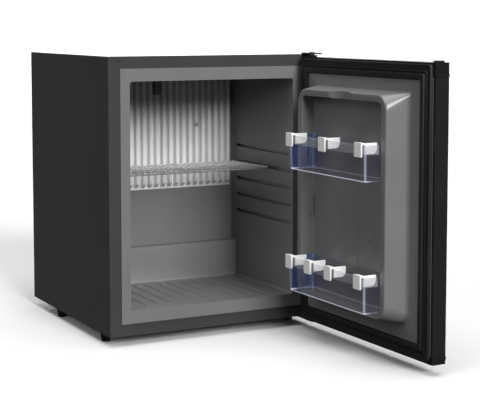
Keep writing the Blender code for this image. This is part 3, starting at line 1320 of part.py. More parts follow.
def make_bin(name, low):
    """A clear bin: tapered body, thick rim, and at each end a channel and hook that sit on a boss."""
    top = low + BIN_HEIGHT
    front = BIN_FRONT - BIN_RIM_PROUD
    half = BIN_BODY_HALF_WIDTH
    body = tapered_box(half, BIN_BACK, front, low, top, BIN_TAPER, BIN_RADIUS, BIN_FLOOR_RADIUS)
    tray = place(name, body, CLEAR_BLUE, DOOR)
    boss_y = RING_LEVEL - BOSS_FROM_CROWN
    rear_rib = (BIN_BACK, boss_y - BOSS_WIDTH / 2 - RUNNING_GAP)
    front_rib = (boss_y + BOSS_WIDTH / 2 + RUNNING_GAP, boss_y + BOSS_WIDTH / 2 + RUNNING_GAP + CHANNEL_WALL)
    inner = half - BIN_TAPER - BIN_WALL / 2
    rim = block(
        (-half - BIN_RIM_PROUD, RING_LEVEL + BIN_WALL, top - BIN_RIM_HEIGHT),
        (half + BIN_RIM_PROUD, BIN_FRONT, top),
    )
    corners = edges_along(rim, "z", lambda middle: middle.y > front)
    round_edges(rim, corners, BIN_RADIUS + BIN_RIM_PROUD, 4)
    join(tray, guide(name + "_rim", rim, DOOR))
    channels = bmesh.new()
    hooks = bmesh.new()
    for side in (-1, 1):
        across = sorted((side * inner, side * BIN_HALF_WIDTH))
        for rib in (rear_rib, front_rib):
            foot = low + BIN_FLOOR_RADIUS + BIN_WALL
            add_block(channels, (across[0], rib[0], foot), (across[1], rib[1], top - BIN_HOOK / 2))
        add_block(hooks, (across[0], BIN_BACK, top - BIN_HOOK), (across[1], front_rib[1], top))
    join(tray, guide(name + "_channels", channels, DOOR))
    join(tray, guide(name + "_hooks", hooks, DOOR))
    wall = BIN_WALL
    hollow = tapered_box(
        half - wall, BIN_BACK + wall, front - wall, low + wall, top, BIN_TAPER, BIN_RADIUS - wall,
        BIN_FLOOR_RADIUS - wall,
    )
    for corner in hollow.verts:
        if corner.co.z > top - WELD:
            corner.co.z += wall
    cut(tray, guide(name + "_hollow", hollow, DOOR))
    smooth(tray)


def make_clip(name, bin_low, x):
    """A bottle clip: a saddle that slides along the bin's rim, with a flag that reaches inwards."""
    rim_top = bin_low + BIN_HEIGHT
    top = rim_top + CLIP_RISE
    half = CLIP_LENGTH / 2
    face = BIN_FRONT + RUNNING_GAP
    leg_front = BIN_FRONT - BIN_RIM_PROUD - BIN_WALL - CLIP_INNER_CLEARANCE
    leg_back = leg_front - CLIP_WALL
    plate = block((-half, face, top - CLIP_HEIGHT), (half, face + CLIP_PLATE, top), CLIP_CORNER, "y", 2)
    clip = place(name, plate, WHITE_PLASTIC, DOOR, (x, 0.0, 0.0))
    bridge = block((-half, leg_back, rim_top + RUNNING_GAP), (half, face + CLIP_PLATE / 2, top - CLIP_CORNER))
    join(clip, guide(name + "_bridge", bridge, DOOR, (x, 0.0, 0.0)))
    leg = block((-half, leg_back, top - CLIP_FLAG_DROP), (CLIP_INNER_END, leg_front, top - CLIP_CORNER))
    join(clip, guide(name + "_leg", leg, DOOR, (x, 0.0, 0.0)))
    low = (-half, leg_front - CLIP_FLAG, top - CLIP_FLAG_DROP)
    flag = block(low, (-half + CLIP_WALL, leg_front, top - CLIP_CORNER))
    low_corner = edges_along(flag, "x", lambda middle: middle.y < leg_back and middle.z < rim_top)
    round_edges(flag, low_corner, CLIP_FLAG_CORNER, 4)
    join(clip, guide(name + "_flag", flag, DOOR, (x, 0.0, 0.0)))


def make_clips():
    """A clip near each end of a bin and the others between them."""
    first = BIN_BODY_HALF_WIDTH - CLIP_HINGE_INSET
    last = -BIN_BODY_HALF_WIDTH + CLIP_HANDLE_INSET
    rows = (("upper", UPPER_BIN_Z, UPPER_MIDDLE_CLIPS), ("lower", LOWER_BIN_Z, LOWER_MIDDLE_CLIPS))
    for word, low, middles in rows:
        for number, x in enumerate((first, *middles, last)):
            make_clip(f"{word}_clip_{number + 1}", low, x)


# Shelf


def make_shelf():
    """A frame of thicker wire with a cross wire, and the thinner wires welded on top of it."""
    half = GROOVE_HALF_WIDTH - SHELF_SIDE_CLEARANCE - FRAME_WIRE_RADIUS
    corner = SHELF_CORNER
    outline = []
    for x, y, start in (
        (half - corner, SHELF_REAR - corner, 0), (-half + corner, SHELF_REAR - corner, 90),
        (-half + corner, SHELF_FRONT + corner, 180), (half - corner, SHELF_FRONT + corner, 270),
    ):
        outline += arc((x, y), corner, start, start + 90, 4)
    points = [(x, y, SHELF_Z) for x, y in outline]
    rim = wire("wire_shelf", points, FRAME_WIRE_RADIUS, CHROME_WIRE, CABINET, 2, closed=True)
    shelf = mesh_from_wire(rim)
    middle_y = (SHELF_FRONT + SHELF_REAR) / 2
    reach = half - FRAME_WIRE_RADIUS / 4
    cross = rod(CROSS_WIRE_RADIUS, (-reach, middle_y, SHELF_Z), (reach, middle_y, SHELF_Z), 10)
    join(shelf, guide("shelf_cross_wire", cross, CABINET))
    level = SHELF_Z + FRAME_WIRE_RADIUS + GRID_WIRE_RADIUS - GRID_WIRE_SINK
    wires = bmesh.new()
    for number in range(GRID_WIRE_COUNT):
        x = (number - (GRID_WIRE_COUNT - 1) / 2) * GRID_WIRE_PITCH
        front = (x, SHELF_FRONT - GRID_WIRE_END * FRAME_WIRE_RADIUS, level)
        rear = (x, SHELF_REAR + GRID_WIRE_END * FRAME_WIRE_RADIUS, level)
        add_rod(wires, GRID_WIRE_RADIUS, front, rear, 6)
    join(shelf, guide("shelf_grid_wires", wires, CABINET))
    smooth(shelf)


make_cabinet_wrap()
make_base_panel()
make_inner_liner()
make_back_panel()
make_insulation_foam()
make_evaporator_plate()
make_sensor_clip()
make_drain()
make_feet()
make_brackets()
make_hinge_pins()
make_hinge_hole_cover()
make_boiler()
make_condenser()
make_absorber()
make_straps()
make_control_box()
make_door_panel()
make_door_caps()
make_bushes_and_plugs()
make_door_liner()
make_door_foam()
make_door_gasket()
make_bin("upper_bin", UPPER_BIN_Z)
make_bin("lower_bin", LOWER_BIN_Z)
make_clips()
make_shelf()
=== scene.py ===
# %% [markdown]
# # A small absorption fridge with its door open
#
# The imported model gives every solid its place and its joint. This lesson dresses it: the solids that already
# have the right shape get rounded edges and a finish, and the pieces that people look at, such as the
# door's moulded liner, the clear bins and the ribbed cooling plate, are worked out again as smooth surfaces.

# %% Load the model
import json
import math

import bmesh
import bpy
import numpy as np
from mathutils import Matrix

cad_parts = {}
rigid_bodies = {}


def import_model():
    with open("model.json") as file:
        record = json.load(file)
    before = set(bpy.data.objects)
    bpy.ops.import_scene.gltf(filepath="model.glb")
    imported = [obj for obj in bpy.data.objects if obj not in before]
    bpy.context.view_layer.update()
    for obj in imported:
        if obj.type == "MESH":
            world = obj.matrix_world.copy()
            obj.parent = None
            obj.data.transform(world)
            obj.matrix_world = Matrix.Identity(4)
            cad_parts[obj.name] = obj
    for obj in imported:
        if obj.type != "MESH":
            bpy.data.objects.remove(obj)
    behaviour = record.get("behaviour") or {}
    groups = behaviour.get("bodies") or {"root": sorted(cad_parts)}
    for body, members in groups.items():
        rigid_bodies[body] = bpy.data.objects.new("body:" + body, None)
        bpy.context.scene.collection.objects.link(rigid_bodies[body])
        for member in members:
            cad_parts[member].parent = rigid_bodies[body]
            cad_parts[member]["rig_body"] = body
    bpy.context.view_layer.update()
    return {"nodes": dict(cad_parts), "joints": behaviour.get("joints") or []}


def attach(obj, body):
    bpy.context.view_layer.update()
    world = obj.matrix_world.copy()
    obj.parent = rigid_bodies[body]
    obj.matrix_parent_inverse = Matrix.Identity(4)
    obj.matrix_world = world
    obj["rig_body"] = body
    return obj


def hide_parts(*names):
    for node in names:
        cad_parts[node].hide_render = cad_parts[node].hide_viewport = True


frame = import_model()
nodes = frame["nodes"]

# %% [markdown]
# ## Colours and nodes
#
# Colours are picked as sRGB hex values, as a designer writes them, but the renderer counts in linear light.
# One function turns the first into the second.

# %% Colours
MM = 0.001


def linear(code):
    """sRGB hex to linear: ((c + 0.055) / 1.055) ^ 2.4 for a channel c, and c / 12.92 for a very dark one."""
    channels = np.array([int(code[i:i + 2], 16) / 255 for i in (1, 3, 5)])
    toe = channels / 12.92
    curve = ((channels + 0.055) / 1.055) ** 2.4
    return (*np.where(channels <= 0.04045, toe, curve).tolist(), 1.0)


print("a middle grey in linear light", linear("#808080"))

# %% [markdown]
# A finish starts from constants on the shader's own sockets. Patterns are added node by node: constants and
# links go in by the names of a node's sockets, or by their numbers where a node has several of one name.
#
# Nearly every finish here is uneven in three ways: a pattern of blobs shifts the colour between two close
# tones, changes the roughness a little, and raises the surface by a fraction of a millimetre.

# %% Nodes and patterns


def add_node(tree, kind, sockets=None, **settings):
    """Adds one node, sets its options, and fills its sockets with values or links."""
    made = tree.nodes.new(kind)
    for key, value in settings.items():
        setattr(made, key, value)
    for key, value in (sockets or {}).items():
        if isinstance(value, bpy.types.NodeSocket):
            tree.links.new(value, made.inputs[key])
        else:
            made.inputs[key].default_value = value
    return made


def finish(name, **sockets):
    """A material whose constants stand on the shader's own sockets."""
    made = bpy.data.materials.new(name)
    made.use_nodes = True
    tree = made.node_tree
    shader = tree.nodes["Principled BSDF"]
    for key, value in sockets.items():
        shader.inputs[key.replace("_", " ")].default_value = value
    return made, tree, shader


def grain(tree, size_mm, detail=2.0, roughness=0.5, stretch=(1.0, 1.0, 1.0)):
    """Noise on object coordinates whose blobs are about size_mm across, pulled out along an axis."""
    place = add_node(tree, "ShaderNodeTexCoord").outputs["Object"]
    if stretch != (1.0, 1.0, 1.0):
        place = add_node(tree, "ShaderNodeMapping", {"Vector": place, "Scale": stretch}).outputs["Vector"]
    noise = add_node(tree, "ShaderNodeTexNoise", {
        "Vector": place, "Scale": 1.0 / (size_mm * MM), "Detail": detail, "Roughness": roughness,
    })
    return noise.outputs["Fac"]


def patterned(tree, shader, tones=None, roughness=None, bumps=()):
    """Drives a shader by patterns that run from 0 to 1.

    tones is a pattern and the two hex values between which it moves the base colour; roughness is a pattern
    with its lowest and highest value. Each of the bumps is a pattern, a strength and a height in millimetres,
    and lies on top of the one before. The last bump's normal is returned.
    """
    if tones is not None:
        pattern, first, second = tones
        tint = add_node(tree, "ShaderNodeValToRGB", {"Fac": pattern})
        tint.color_ramp.elements[0].color = linear(first)
        tint.color_ramp.elements[1].color = linear(second)
        tree.links.new(tint.outputs["Color"], shader.inputs["Base Color"])
    if roughness is not None:
        pattern, low, high = roughness
        spread = add_node(tree, "ShaderNodeMapRange", {"Value": pattern, "To Min": low, "To Max": high})
        tree.links.new(spread.outputs["Result"], shader.inputs["Roughness"])
    normal = None
    for pattern, strength, height_mm in bumps:
        sockets = {"Height": pattern, "Strength": strength, "Distance": height_mm * MM}
        if normal is not None:
            sockets["Normal"] = normal
        normal = add_node(tree, "ShaderNodeBump", sockets).outputs["Normal"]
        tree.links.new(normal, shader.inputs["Normal"])
    return normal


print("blobs of 3 mm need a noise scale of", round(1.0 / (3.0 * MM)))

# %% [markdown]
# ## Powder-coated steel
#
# The cabinet and the door are folded from thin steel, sprayed with black powder and baked. The powder melts
# into a skin with a fine orange peel: it breaks up reflections, so large faces look soft grey, and edges
# catch a thin line of light. The real peel is about 1 mm; at this picture size it is drawn 3 mm across.

# %% Powder coat
powder_coat, tree, shader = finish(
    "black_powder_coat", IOR=1.5, Specular_IOR_Level=0.20,
    Coat_Weight=1.0, Coat_Roughness=0.12, Coat_IOR=1.25,
)
peel = grain(tree, 3.0, 3.0)
smudge = grain(tree, 90.0, 2.0)
patterned(tree, shader, (smudge, "#38383a", "#404042"), (smudge, 0.46, 0.56), [(peel, 0.10, 0.2)])

# The door's panel takes a copy of the same coat in blacker tones
gloss_coat = powder_coat.copy()
gloss_coat.name = "black_gloss_coat"
ramps = [node for node in gloss_coat.node_tree.nodes if node.bl_idname == "ShaderNodeValToRGB"]
shades = ramps[0].color_ramp
shades.elements[0].color = linear("#161617")
shades.elements[1].color = linear("#1d1d1e")
print(powder_coat.name, gloss_coat.name, len(tree.nodes), "nodes")

# %% [markdown]
# ## Vacuum-formed polystyrene
#
# Both liners are one warm sheet of high-impact polystyrene, sucked onto a mould. The sheet is grey through
# and through, with a satin face that the mould leaves slightly uneven. Its stretch makes long soft waves,
# and a fine mould grain of about half a millimetre, drawn at 1.6 mm, keeps highlights broad.

# %% Liner plastic
liner_plastic, tree, shader = finish("grey_polystyrene", Roughness=0.40, IOR=1.59)
waves = grain(tree, 70.0, 1.0)
pores = grain(tree, 1.6, 3.0)
bumps = [(pores, 0.12, 0.1), (waves, 0.25, 1.2)]
patterned(tree, shader, (waves, "#6f6f70", "#777778"), (pores, 0.28, 0.38), bumps)
print(liner_plastic.name, len(tree.nodes), "nodes")

# %% [markdown]
# ## Lacquered aluminium
#
# The cooling plate is pressed aluminium under a thin silver lacquer. The press draws the metal along the
# ribs, which leaves faint upright streaks about 1 mm wide. The lacquer dulls the metal, so it is only
# partly metallic.

# %% Cooling plate finish
silver_lacquer, tree, shader = finish("silver_lacquered_aluminium", Roughness=0.36, Metallic=0.12)
streaks = grain(tree, 1.5, 4.0, 0.6, (1.0, 1.0, 0.02))
patterned(tree, shader, (streaks, "#d9dad9", "#f0f0ee"), (streaks, 0.30, 0.44), [(streaks, 0.10, 0.1)])
print(silver_lacquer.name, len(tree.nodes), "nodes")

# %% [markdown]
# ## Moulded black plastic
#
# The door's end caps, the feet and the thermostat's box are black ABS, moulded with a spark-eroded grain of
# about 0.8 mm. Grain this fine lowers the gloss; it is drawn at 2 mm so that it shows.

# %% Black plastic
black_abs, tree, shader = finish("black_abs", Roughness=0.38, IOR=1.53, Specular_IOR_Level=0.28)
spark = grain(tree, 2.0, 4.0, 0.6)
patterned(tree, shader, (spark, "#141415", "#1b1b1c"), (spark, 0.33, 0.46), [(spark, 0.15, 0.15)])
print(black_abs.name, len(tree.nodes), "nodes")

# %% [markdown]
# ## Soft PVC gasket
#
# The gasket is extruded PVC with a magnet strip inside. It is matte, a little dusty, and almost black.

# %% Gasket
soft_pvc, tree, shader = finish("black_soft_pvc", Roughness=0.50, IOR=1.5)
dust = grain(tree, 4.0, 5.0, 0.7)
patterned(tree, shader, (dust, "#111112", "#19191a"), (dust, 0.42, 0.60), [(dust, 0.10, 0.1)])
print(soft_pvc.name, len(tree.nodes), "nodes")

# %% [markdown]
# ## Clear polystyrene with a blue tint
#
# The bins are injection-moulded crystal polystyrene, 2 mm thick. Looked at squarely, a wall is nearly clear
# with a breath of blue. Looked along, the wall turns solid, as the light path inside is long, and its colour
# turns pale, a painted sheen: Layer Weight gives that angle. The edges get a painted highlight: the attribute
# `edge`, written on the bin's mesh further down, marks them, and there the colour turns pale and glows a
# little. The end at the hinge, which has the larger object Y, is painted a brighter blue and made a little
# more solid, for the light it catches from inside the cabinet. Real refraction would need many light bounces
# through four thin walls, so opacity is the quicker and cleaner way here. A flow waviness about 25 mm long
# keeps the walls from looking like glass.

# %% Clear plastic
clear_blue, tree, shader = finish("clear_blue_polystyrene", Roughness=0.07, IOR=1.59)
# The colour of the glow on the marked edges, a painted highlight
shader.inputs["Emission Color"].default_value = linear("#dfe3fa")
normal = patterned(tree, shader, bumps=[(grain(tree, 25.0, 2.0), 0.20, 0.5)])
angle = add_node(tree, "ShaderNodeLayerWeight", {"Blend": 0.5, "Normal": normal})
place = add_node(tree, "ShaderNodeTexCoord").outputs["Object"]
along_bin = add_node(tree, "ShaderNodeSeparateXYZ", {"Vector": place}).outputs["Y"]

# 0 over most of the bin, 1 at the end near the hinge, which is painted a brighter blue for the light it
# catches
ramp = {"Value": along_bin, "From Min": -120.0 * MM, "From Max": -85.0 * MM}
painted_hinge_light = add_node(tree, "ShaderNodeMapRange", ramp).outputs["Result"]
body = add_node(tree, "ShaderNodeValToRGB", {"Fac": painted_hinge_light})
body.color_ramp.elements[0].color = linear("#3a3f78")
body.color_ramp.elements[1].color = linear("#3f78d2")

# Painted highlight and sheen: the colour turns pale, and the wall solid, on marked edges and where it is seen
# along its surface
edge = add_node(tree, "ShaderNodeAttribute", attribute_name="edge").outputs["Fac"]
along = add_node(tree, "ShaderNodeMath", {0: angle.outputs["Facing"], 1: 30.0}, operation="POWER")
paler = add_node(tree, "ShaderNodeMath", {0: edge, 1: along.outputs["Value"]}, operation="MAXIMUM")
pale = paler.outputs["Value"]
blend = {0: pale, 6: body.outputs["Color"], 7: linear("#eef0fa")}
tint = add_node(tree, "ShaderNodeMix", blend, data_type="RGBA")
tree.links.new(tint.outputs[2], shader.inputs["Base Color"])
depth = add_node(tree, "ShaderNodeMapRange", {"Value": painted_hinge_light, "To Min": 0.03, "To Max": 0.11})
weights = {0: pale, 1: 0.55, 2: depth.outputs["Result"]}
solid = add_node(tree, "ShaderNodeMath", weights, operation="MULTIPLY_ADD")
tree.links.new(solid.outputs["Value"], shader.inputs["Alpha"])
# The marked edges glow a little: a painted highlight, not a lamp
glow = add_node(tree, "ShaderNodeMath", {0: edge, 1: 0.6}, operation="MULTIPLY")
tree.links.new(glow.outputs["Value"], shader.inputs["Emission Strength"])
print(clear_blue.name, len(tree.nodes), "nodes")

# %% [markdown]
# The bin's rim is etched on its outer face, which turns it into a frosted grey band. Etching leaves pits of
# about 0.3 mm, drawn at 1.5 mm.

# %% Frosted rim
frosted_rim, tree, shader = finish("etched_polystyrene", IOR=1.59, Alpha=0.18)
pits = grain(tree, 1.5, 4.0, 0.7)
cloud = grain(tree, 30.0, 2.0)
patterned(tree, shader, (cloud, "#bcbec3", "#f4f6fb"), (pits, 0.38, 0.58), [(pits, 0.20, 0.1)])
print(frosted_rim.name, len(tree.nodes), "nodes")

# %% [markdown]
# ## White polypropylene
#
# The bottle clips are white polypropylene: bright, waxy, slightly see-through at thin edges. A weak
# scattering below the surface gives the wax; the mould's texture is drawn at 1.5 mm.

# %% White plastic
white_pp, tree, shader = finish(
    "white_polypropylene", Roughness=0.34, IOR=1.49, Subsurface_Weight=0.12, Subsurface_Scale=2.0 * MM,
)
wax = grain(tree, 1.5, 3.0)
patterned(tree, shader, (wax, "#f4f4f5", "#fafafa"), bumps=[(wax, 0.08, 0.1)])
print(white_pp.name, len(tree.nodes), "nodes")

# %% [markdown]
# ## Chromed wire
#
# The shelf is steel wire with bright chrome. A slow waviness along the wire bends its reflections, and a
# metallic value of 0.75 leaves it the whitish haze of fine scratches.

# %% Chrome
chrome, tree, shader = finish("chromed_wire", Roughness=0.16, Metallic=0.75, Base_Color=linear("#d9dadb"))
ripple = grain(tree, 6.0, 2.0)
patterned(tree, shader, roughness=(ripple, 0.12, 0.24), bumps=[(ripple, 0.10, 0.1)])
print(chrome.name, len(tree.nodes), "nodes")

# %% [markdown]
# ## Zinc-plated steel
#
# Screws, pins, straps and the boiler's jacket carry a coat of zinc. As it cools on the steel it forms
# crystals, which show as grey spangles some 8 mm across: each cell of a Voronoi pattern is one.

# %% Zinc
zinc, tree, shader = finish("zinc_plated_steel", Roughness=0.38, Metallic=1.0)
place = add_node(tree, "ShaderNodeTexCoord").outputs["Object"]
spangle = add_node(tree, "ShaderNodeTexVoronoi", {"Vector": place, "Scale": 1.0 / (8 * MM)}).outputs["Color"]
patterned(tree, shader, (spangle, "#a9abad", "#c3c5c7"), (spangle, 0.30, 0.46))
print(zinc.name, len(tree.nodes), "nodes")

# %% [markdown]
# ## Dipped paint and foam
#
# The tubes of the cooling unit are dipped in thick black paint, which runs down a little before it dries, so
# its blobs are pulled out upright. The foam is hidden between steel and plastic: only where it is cut would
# its bubbles of 1 mm show.

# %% Paint and foam
dipped_paint, tree, shader = finish("black_dipped_paint", Roughness=0.35, IOR=1.5)
runs = grain(tree, 10.0, 3.0, 0.5, (1.0, 1.0, 0.4))
patterned(tree, shader, (runs, "#1b1b1c", "#262627"), (runs, 0.28, 0.46), [(runs, 0.30, 0.4)])

hidden_foam, tree, shader = finish("polyurethane_foam", Roughness=0.95)
patterned(tree, shader, (grain(tree, 1.0, 2.0), "#c9b98a", "#e2d5ab"))
print(dipped_paint.name, "and", hidden_foam.name)

# %% [markdown]
# ## Dressed solids
#
# Folded steel and moulded caps already have their true shape. A copy of the solid is merged, its flat faces
# are dissolved into large ones, and a narrow bevel gives every edge the radius that a press brake or a
# mould leaves. The light line along an edge is what makes it look real.

# %% Dress the solids


def dressed(name, material, width):
    """A merged copy of a solid, with beveled edges of the given width, that stands for it."""
    sharp = math.radians(30.0)
    mesh = nodes[name].data.copy()
    mesh.name = name + "_dressed"
    soft = bmesh.new()
    soft.from_mesh(mesh)
    bmesh.ops.remove_doubles(soft, verts=soft.verts, dist=0.005 * MM)
    bmesh.ops.dissolve_limit(soft, angle_limit=math.radians(1.0), verts=soft.verts, edges=soft.edges)
    soft.to_mesh(mesh)
    soft.free()
    mesh.materials.clear()
    mesh.materials.append(material)
    mesh.shade_smooth()
    mesh.set_sharp_from_angle(angle=sharp)
    piece = bpy.data.objects.new(name + "_dressed", mesh)
    bpy.context.scene.collection.objects.link(piece)
    if width:
        bevel = piece.modifiers.new("edge radius", "BEVEL")
        bevel.width = width
        bevel.segments = 2
        bevel.limit_method = "ANGLE"
        bevel.angle_limit = sharp
        bevel.harden_normals = True
    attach(piece, nodes[name]["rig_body"])
    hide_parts(name)


# Edge widths in millimetres
rounded = {
    powder_coat: {
        "cabinet_wrap": 0.35, "hinge_hole_cover": 0.2, "top_hinge_bracket": 0.5, "bottom_hinge_bracket": 0.5,
    },
    gloss_coat: {"door_panel": 0.35},
    liner_plastic: {"inner_liner": 0.2, "sensor_clip": 0.3},
    black_abs: {
        "door_top_cap": 0.6, "door_bottom_cap": 0.6, "control_box": 0.8, "power_inlet": 0.4, "drip_cup": 0.4,
        "thermostat_knob": 0.5,
    },
    zinc: {"boiler_jacket": 0.0, "absorber_vessel": 0.0, "upper_unit_strap": 0.3, "lower_unit_strap": 0.3},
}
for material, pieces in rounded.items():
    for name, width in pieces.items():
        dressed(name, material, width * MM)
    print(material.name, "on", len(pieces), "solids")

# %% [markdown]
# The rest of the solids keep their own mesh and only take a finish. They are small, turned or hidden.

# %% Finish the remaining solids
plain = {
    powder_coat: ["base_panel"],
    black_abs: ["drain_tube", "front_left_foot", "front_right_foot", "rear_left_foot", "rear_right_foot",
                "door_top_plug", "door_bottom_plug", "door_top_bush", "door_bottom_bush"],
    zinc: ["back_panel", "top_hinge_pin", "bottom_hinge_pin", "top_bracket_screw_upper",
           "top_bracket_screw_lower", "bottom_bracket_screw_front", "bottom_bracket_screw_rear",
           "heater_cartridge"],
    dipped_paint: ["vapour_pipe", "condenser", "absorber_coil", "return_pipe"],
    hidden_foam: ["insulation_foam", "door_foam"],
}
for material, names in plain.items():
    for name in names:
        nodes[name].data.materials.clear()
        nodes[name].data.materials.append(material)
    print(material.name, "on", len(names), "solids")

# %% [markdown]
# ## Surfaces from numbers
#
# Most new pieces are one idea: a row of closed outlines, each a rounded rectangle with its own size, corner
# radius and level, joined into a skin. All outlines of a piece are worked out in one go, as one array.

# %% Outlines


def rounded_rectangles(sizes, arc_steps, side_steps, low_radius=None):
    """Rounded rectangles, one per row of sizes = (half width, low, high, radius). The two lower corners may
    have their own radius.

    A corner point is the corner's centre plus radius times (cos a, sin a), with a running through the four
    quarters. A side point lies evenly between the end of one corner's arc and the start of the next.
    """
    half, low, high, radius = np.asarray(sizes, float)[:, :4].T[:, :, None, None]
    quarter = np.arange(4)[None, :, None]
    angle = np.pi / 2 * (quarter + np.linspace(0, 1, arc_steps + 1)[None, None, :])
    right = np.array([1, -1, -1, 1])[None, :, None]
    up = np.array([1, 1, 0, 0])[None, :, None]
    if low_radius is not None:
        radius = np.where(up, radius, np.asarray(low_radius)[:, None, None])
    x = right * (half - radius) + radius * np.cos(angle)
    z = np.where(up, high - radius, low + radius) + radius * np.sin(angle)
    corners = np.stack([x, z], -1)
    ends = corners[:, :, -1:, :]
    starts = np.roll(corners, -1, 1)[:, :, :1, :]
    share = np.linspace(0, 1, side_steps + 2)[1:-1][None, None, :, None]
    sides = ends * (1 - share) + starts * share
    both = np.concatenate([corners, sides], 2)
    return both.reshape(len(half), -1, 2)


tile = rounded_rectangles([(10.0, 0.0, 20.0, 2.0)], arc_steps=4, side_steps=2)
print("an outline with four steps to a corner has", tile.shape[1], "points")

# %% [markdown]
# No moulded corner is sharp. A profile and a row of outlines are both rows of numbers, so one function
# softens either: between two walls it puts in a few rows that follow a curve.

# %% Soft corners


def filleted(points, reach, steps=4):
    """A polyline with soft corners: a curve (1-t)^2 a + 2t(1-t) p + t^2 b replaces each corner p, where a and
    b lie on the two legs, reach away from p but never past the legs' middles."""
    points = np.asarray(points, float)
    legs = np.diff(points, axis=0)
    length = np.linalg.norm(legs, axis=1)
    towards = legs / length[:, None]
    reach = np.broadcast_to(reach, len(points) - 2)
    reach = np.minimum(reach, np.minimum(length[:-1], length[1:]) * 0.49)[:, None]
    corner = points[1:-1]
    before = corner - towards[:-1] * reach
    after = corner + towards[1:] * reach
    t = np.linspace(0, 1, steps + 1)[None, :, None]
    curve = (1 - t) ** 2 * before[:, None] + 2 * t * (1 - t) * corner[:, None] + t ** 2 * after[:, None]
    return np.concatenate([points[:1], curve.reshape(-1, points.shape[1]), points[-1:]])


def smoothstep(value):
    """0 below 0, 1 above 1, and 3t^2 - 2t^3 between."""
    t = np.clip(value, 0, 1)
    return t * t * (3 - 2 * t)


print("a softened right angle has", len(filleted([(0, 0), (1, 0), (1, 1)], 0.2)), "points")

# %% [markdown]
# A skin joins neighbouring outlines with four-sided faces. The faces' volumes, counted from the origin, add
# up to the piece's own: a negative sum means that they point inwards. Each skin prints its sum.

# %% Skins


def skin(name, grid, material, body, ends="caps", replaced=(), sharp=40.0):
    """A grid of points (rows, around, 3) becomes a closed mesh. ends is "caps" for a fan on the first and the
    last row, or "ring" where the last row joins the first. If the volume comes out negative, the faces are
    turned round."""
    rows, around, _ = grid.shape
    index = np.arange(rows * around).reshape(rows, around)
    lower = index if ends == "ring" else index[:-1]
    upper = np.roll(index, -1, 0) if ends == "ring" else index[1:]
    quads = np.stack([lower, np.roll(lower, -1, 1), np.roll(upper, -1, 1), upper], -1).reshape(-1, 4)
    points = grid.reshape(-1, 3)
    faces = quads.tolist()
    if ends == "caps":
        middle = np.stack([grid[0].mean(0), grid[-1].mean(0)])
        first = np.stack([np.roll(index[0], -1), index[0], np.full(around, len(points))], -1)
        last = np.stack([index[-1], np.roll(index[-1], -1), np.full(around, len(points) + 1)], -1)
        points = np.concatenate([points, middle])
        faces += first.tolist() + last.tolist()
    a, b, c, d = points[quads].transpose(1, 0, 2)
    volume = np.einsum("ij,ij->", np.cross(a, b), c) + np.einsum("ij,ij->", np.cross(a, c), d)
    if ends == "caps":
        for fan in (first, last):
            a, b, c = points[fan].transpose(1, 0, 2)
            volume += np.einsum("ij,ij->", np.cross(a, b), c)
    if volume < 0:
        faces = [face[::-1] for face in faces]
    mesh = bpy.data.meshes.new(name)
    mesh.from_pydata(points.tolist(), [], faces)
    mesh.materials.append(material)
    mesh.shade_smooth()
    mesh.set_sharp_from_angle(angle=math.radians(sharp))
    piece = bpy.data.objects.new(name, mesh)
    bpy.context.scene.collection.objects.link(piece)
    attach(piece, body)
    if replaced:
        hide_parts(*replaced)
    cubic_cm = abs(volume) / 6 * 1e6
    print(name, len(points), "points, volume", round(cubic_cm, 2), "cm3")
    return piece


# %% [markdown]
# ## The door's own axes
#
# The door stands open, so its pieces are worked out flat, as the door lies when closed, and then turned
# about the hinge: x runs from the door's middle to the hinge, y from its inner face into the closed
# cabinet, z up.

# %% Door and cabinet axes
hinge = next(joint for joint in frame["joints"] if joint["name"] == "door_hinge")
HINGE_X, HINGE_Y = hinge["pos_m"][:2]
OPEN = math.radians(91.0)
AXIS_INSET = 14.7 * MM  # from the door's inner face to the hinge axis, which runs inside the door
FRONT_GAP = 10.5 * MM  # from the closed door's inner face to the cabinet's front
FRONT_Y = HINGE_Y + FRONT_GAP + AXIS_INSET  # the cabinet's front
FLOOR_GAP = 18.0 * MM  # height of the feet


def on_door(points):
    """Door coordinates to the room: shift the hinge axis to zero, turn by the open angle, shift back."""
    x = points[..., 0] - HINGE_X
    y = points[..., 1] + AXIS_INSET
    turned_x = HINGE_X + x * math.cos(OPEN) - y * math.sin(OPEN)
    turned_y = HINGE_Y + x * math.sin(OPEN) + y * math.cos(OPEN)
    return np.stack([turned_x, turned_y, points[..., 2] + FLOOR_GAP], -1)


def in_cabinet(points):
    """Cabinet coordinates, from the front's middle at the underside, to the room."""
    return points + np.array([0.0, FRONT_Y, FLOOR_GAP])


print("hinge at", HINGE_X, HINGE_Y, "front at", FRONT_Y)

# %% [markdown]
# ## The door's liner
#
# The liner rises in three steps from the gasket: a flat plateau, a tall ring that holds the bins, and a
# pocket inside the ring. Read from outside in, that is a row of rounded rectangles at rising and falling
# levels. Filleting the row once gives every corner of the moulding its radius.

# %% Door liner
CROWN_LEVEL = 48.0
POCKET_LEVEL = 22.0
POCKET_HALF, POCKET_LOW, POCKET_TOP = 121.5, 66.0, 418.0
SCOOP_WIDTH, SCOOP_DEPTH = 66.0, 9.0

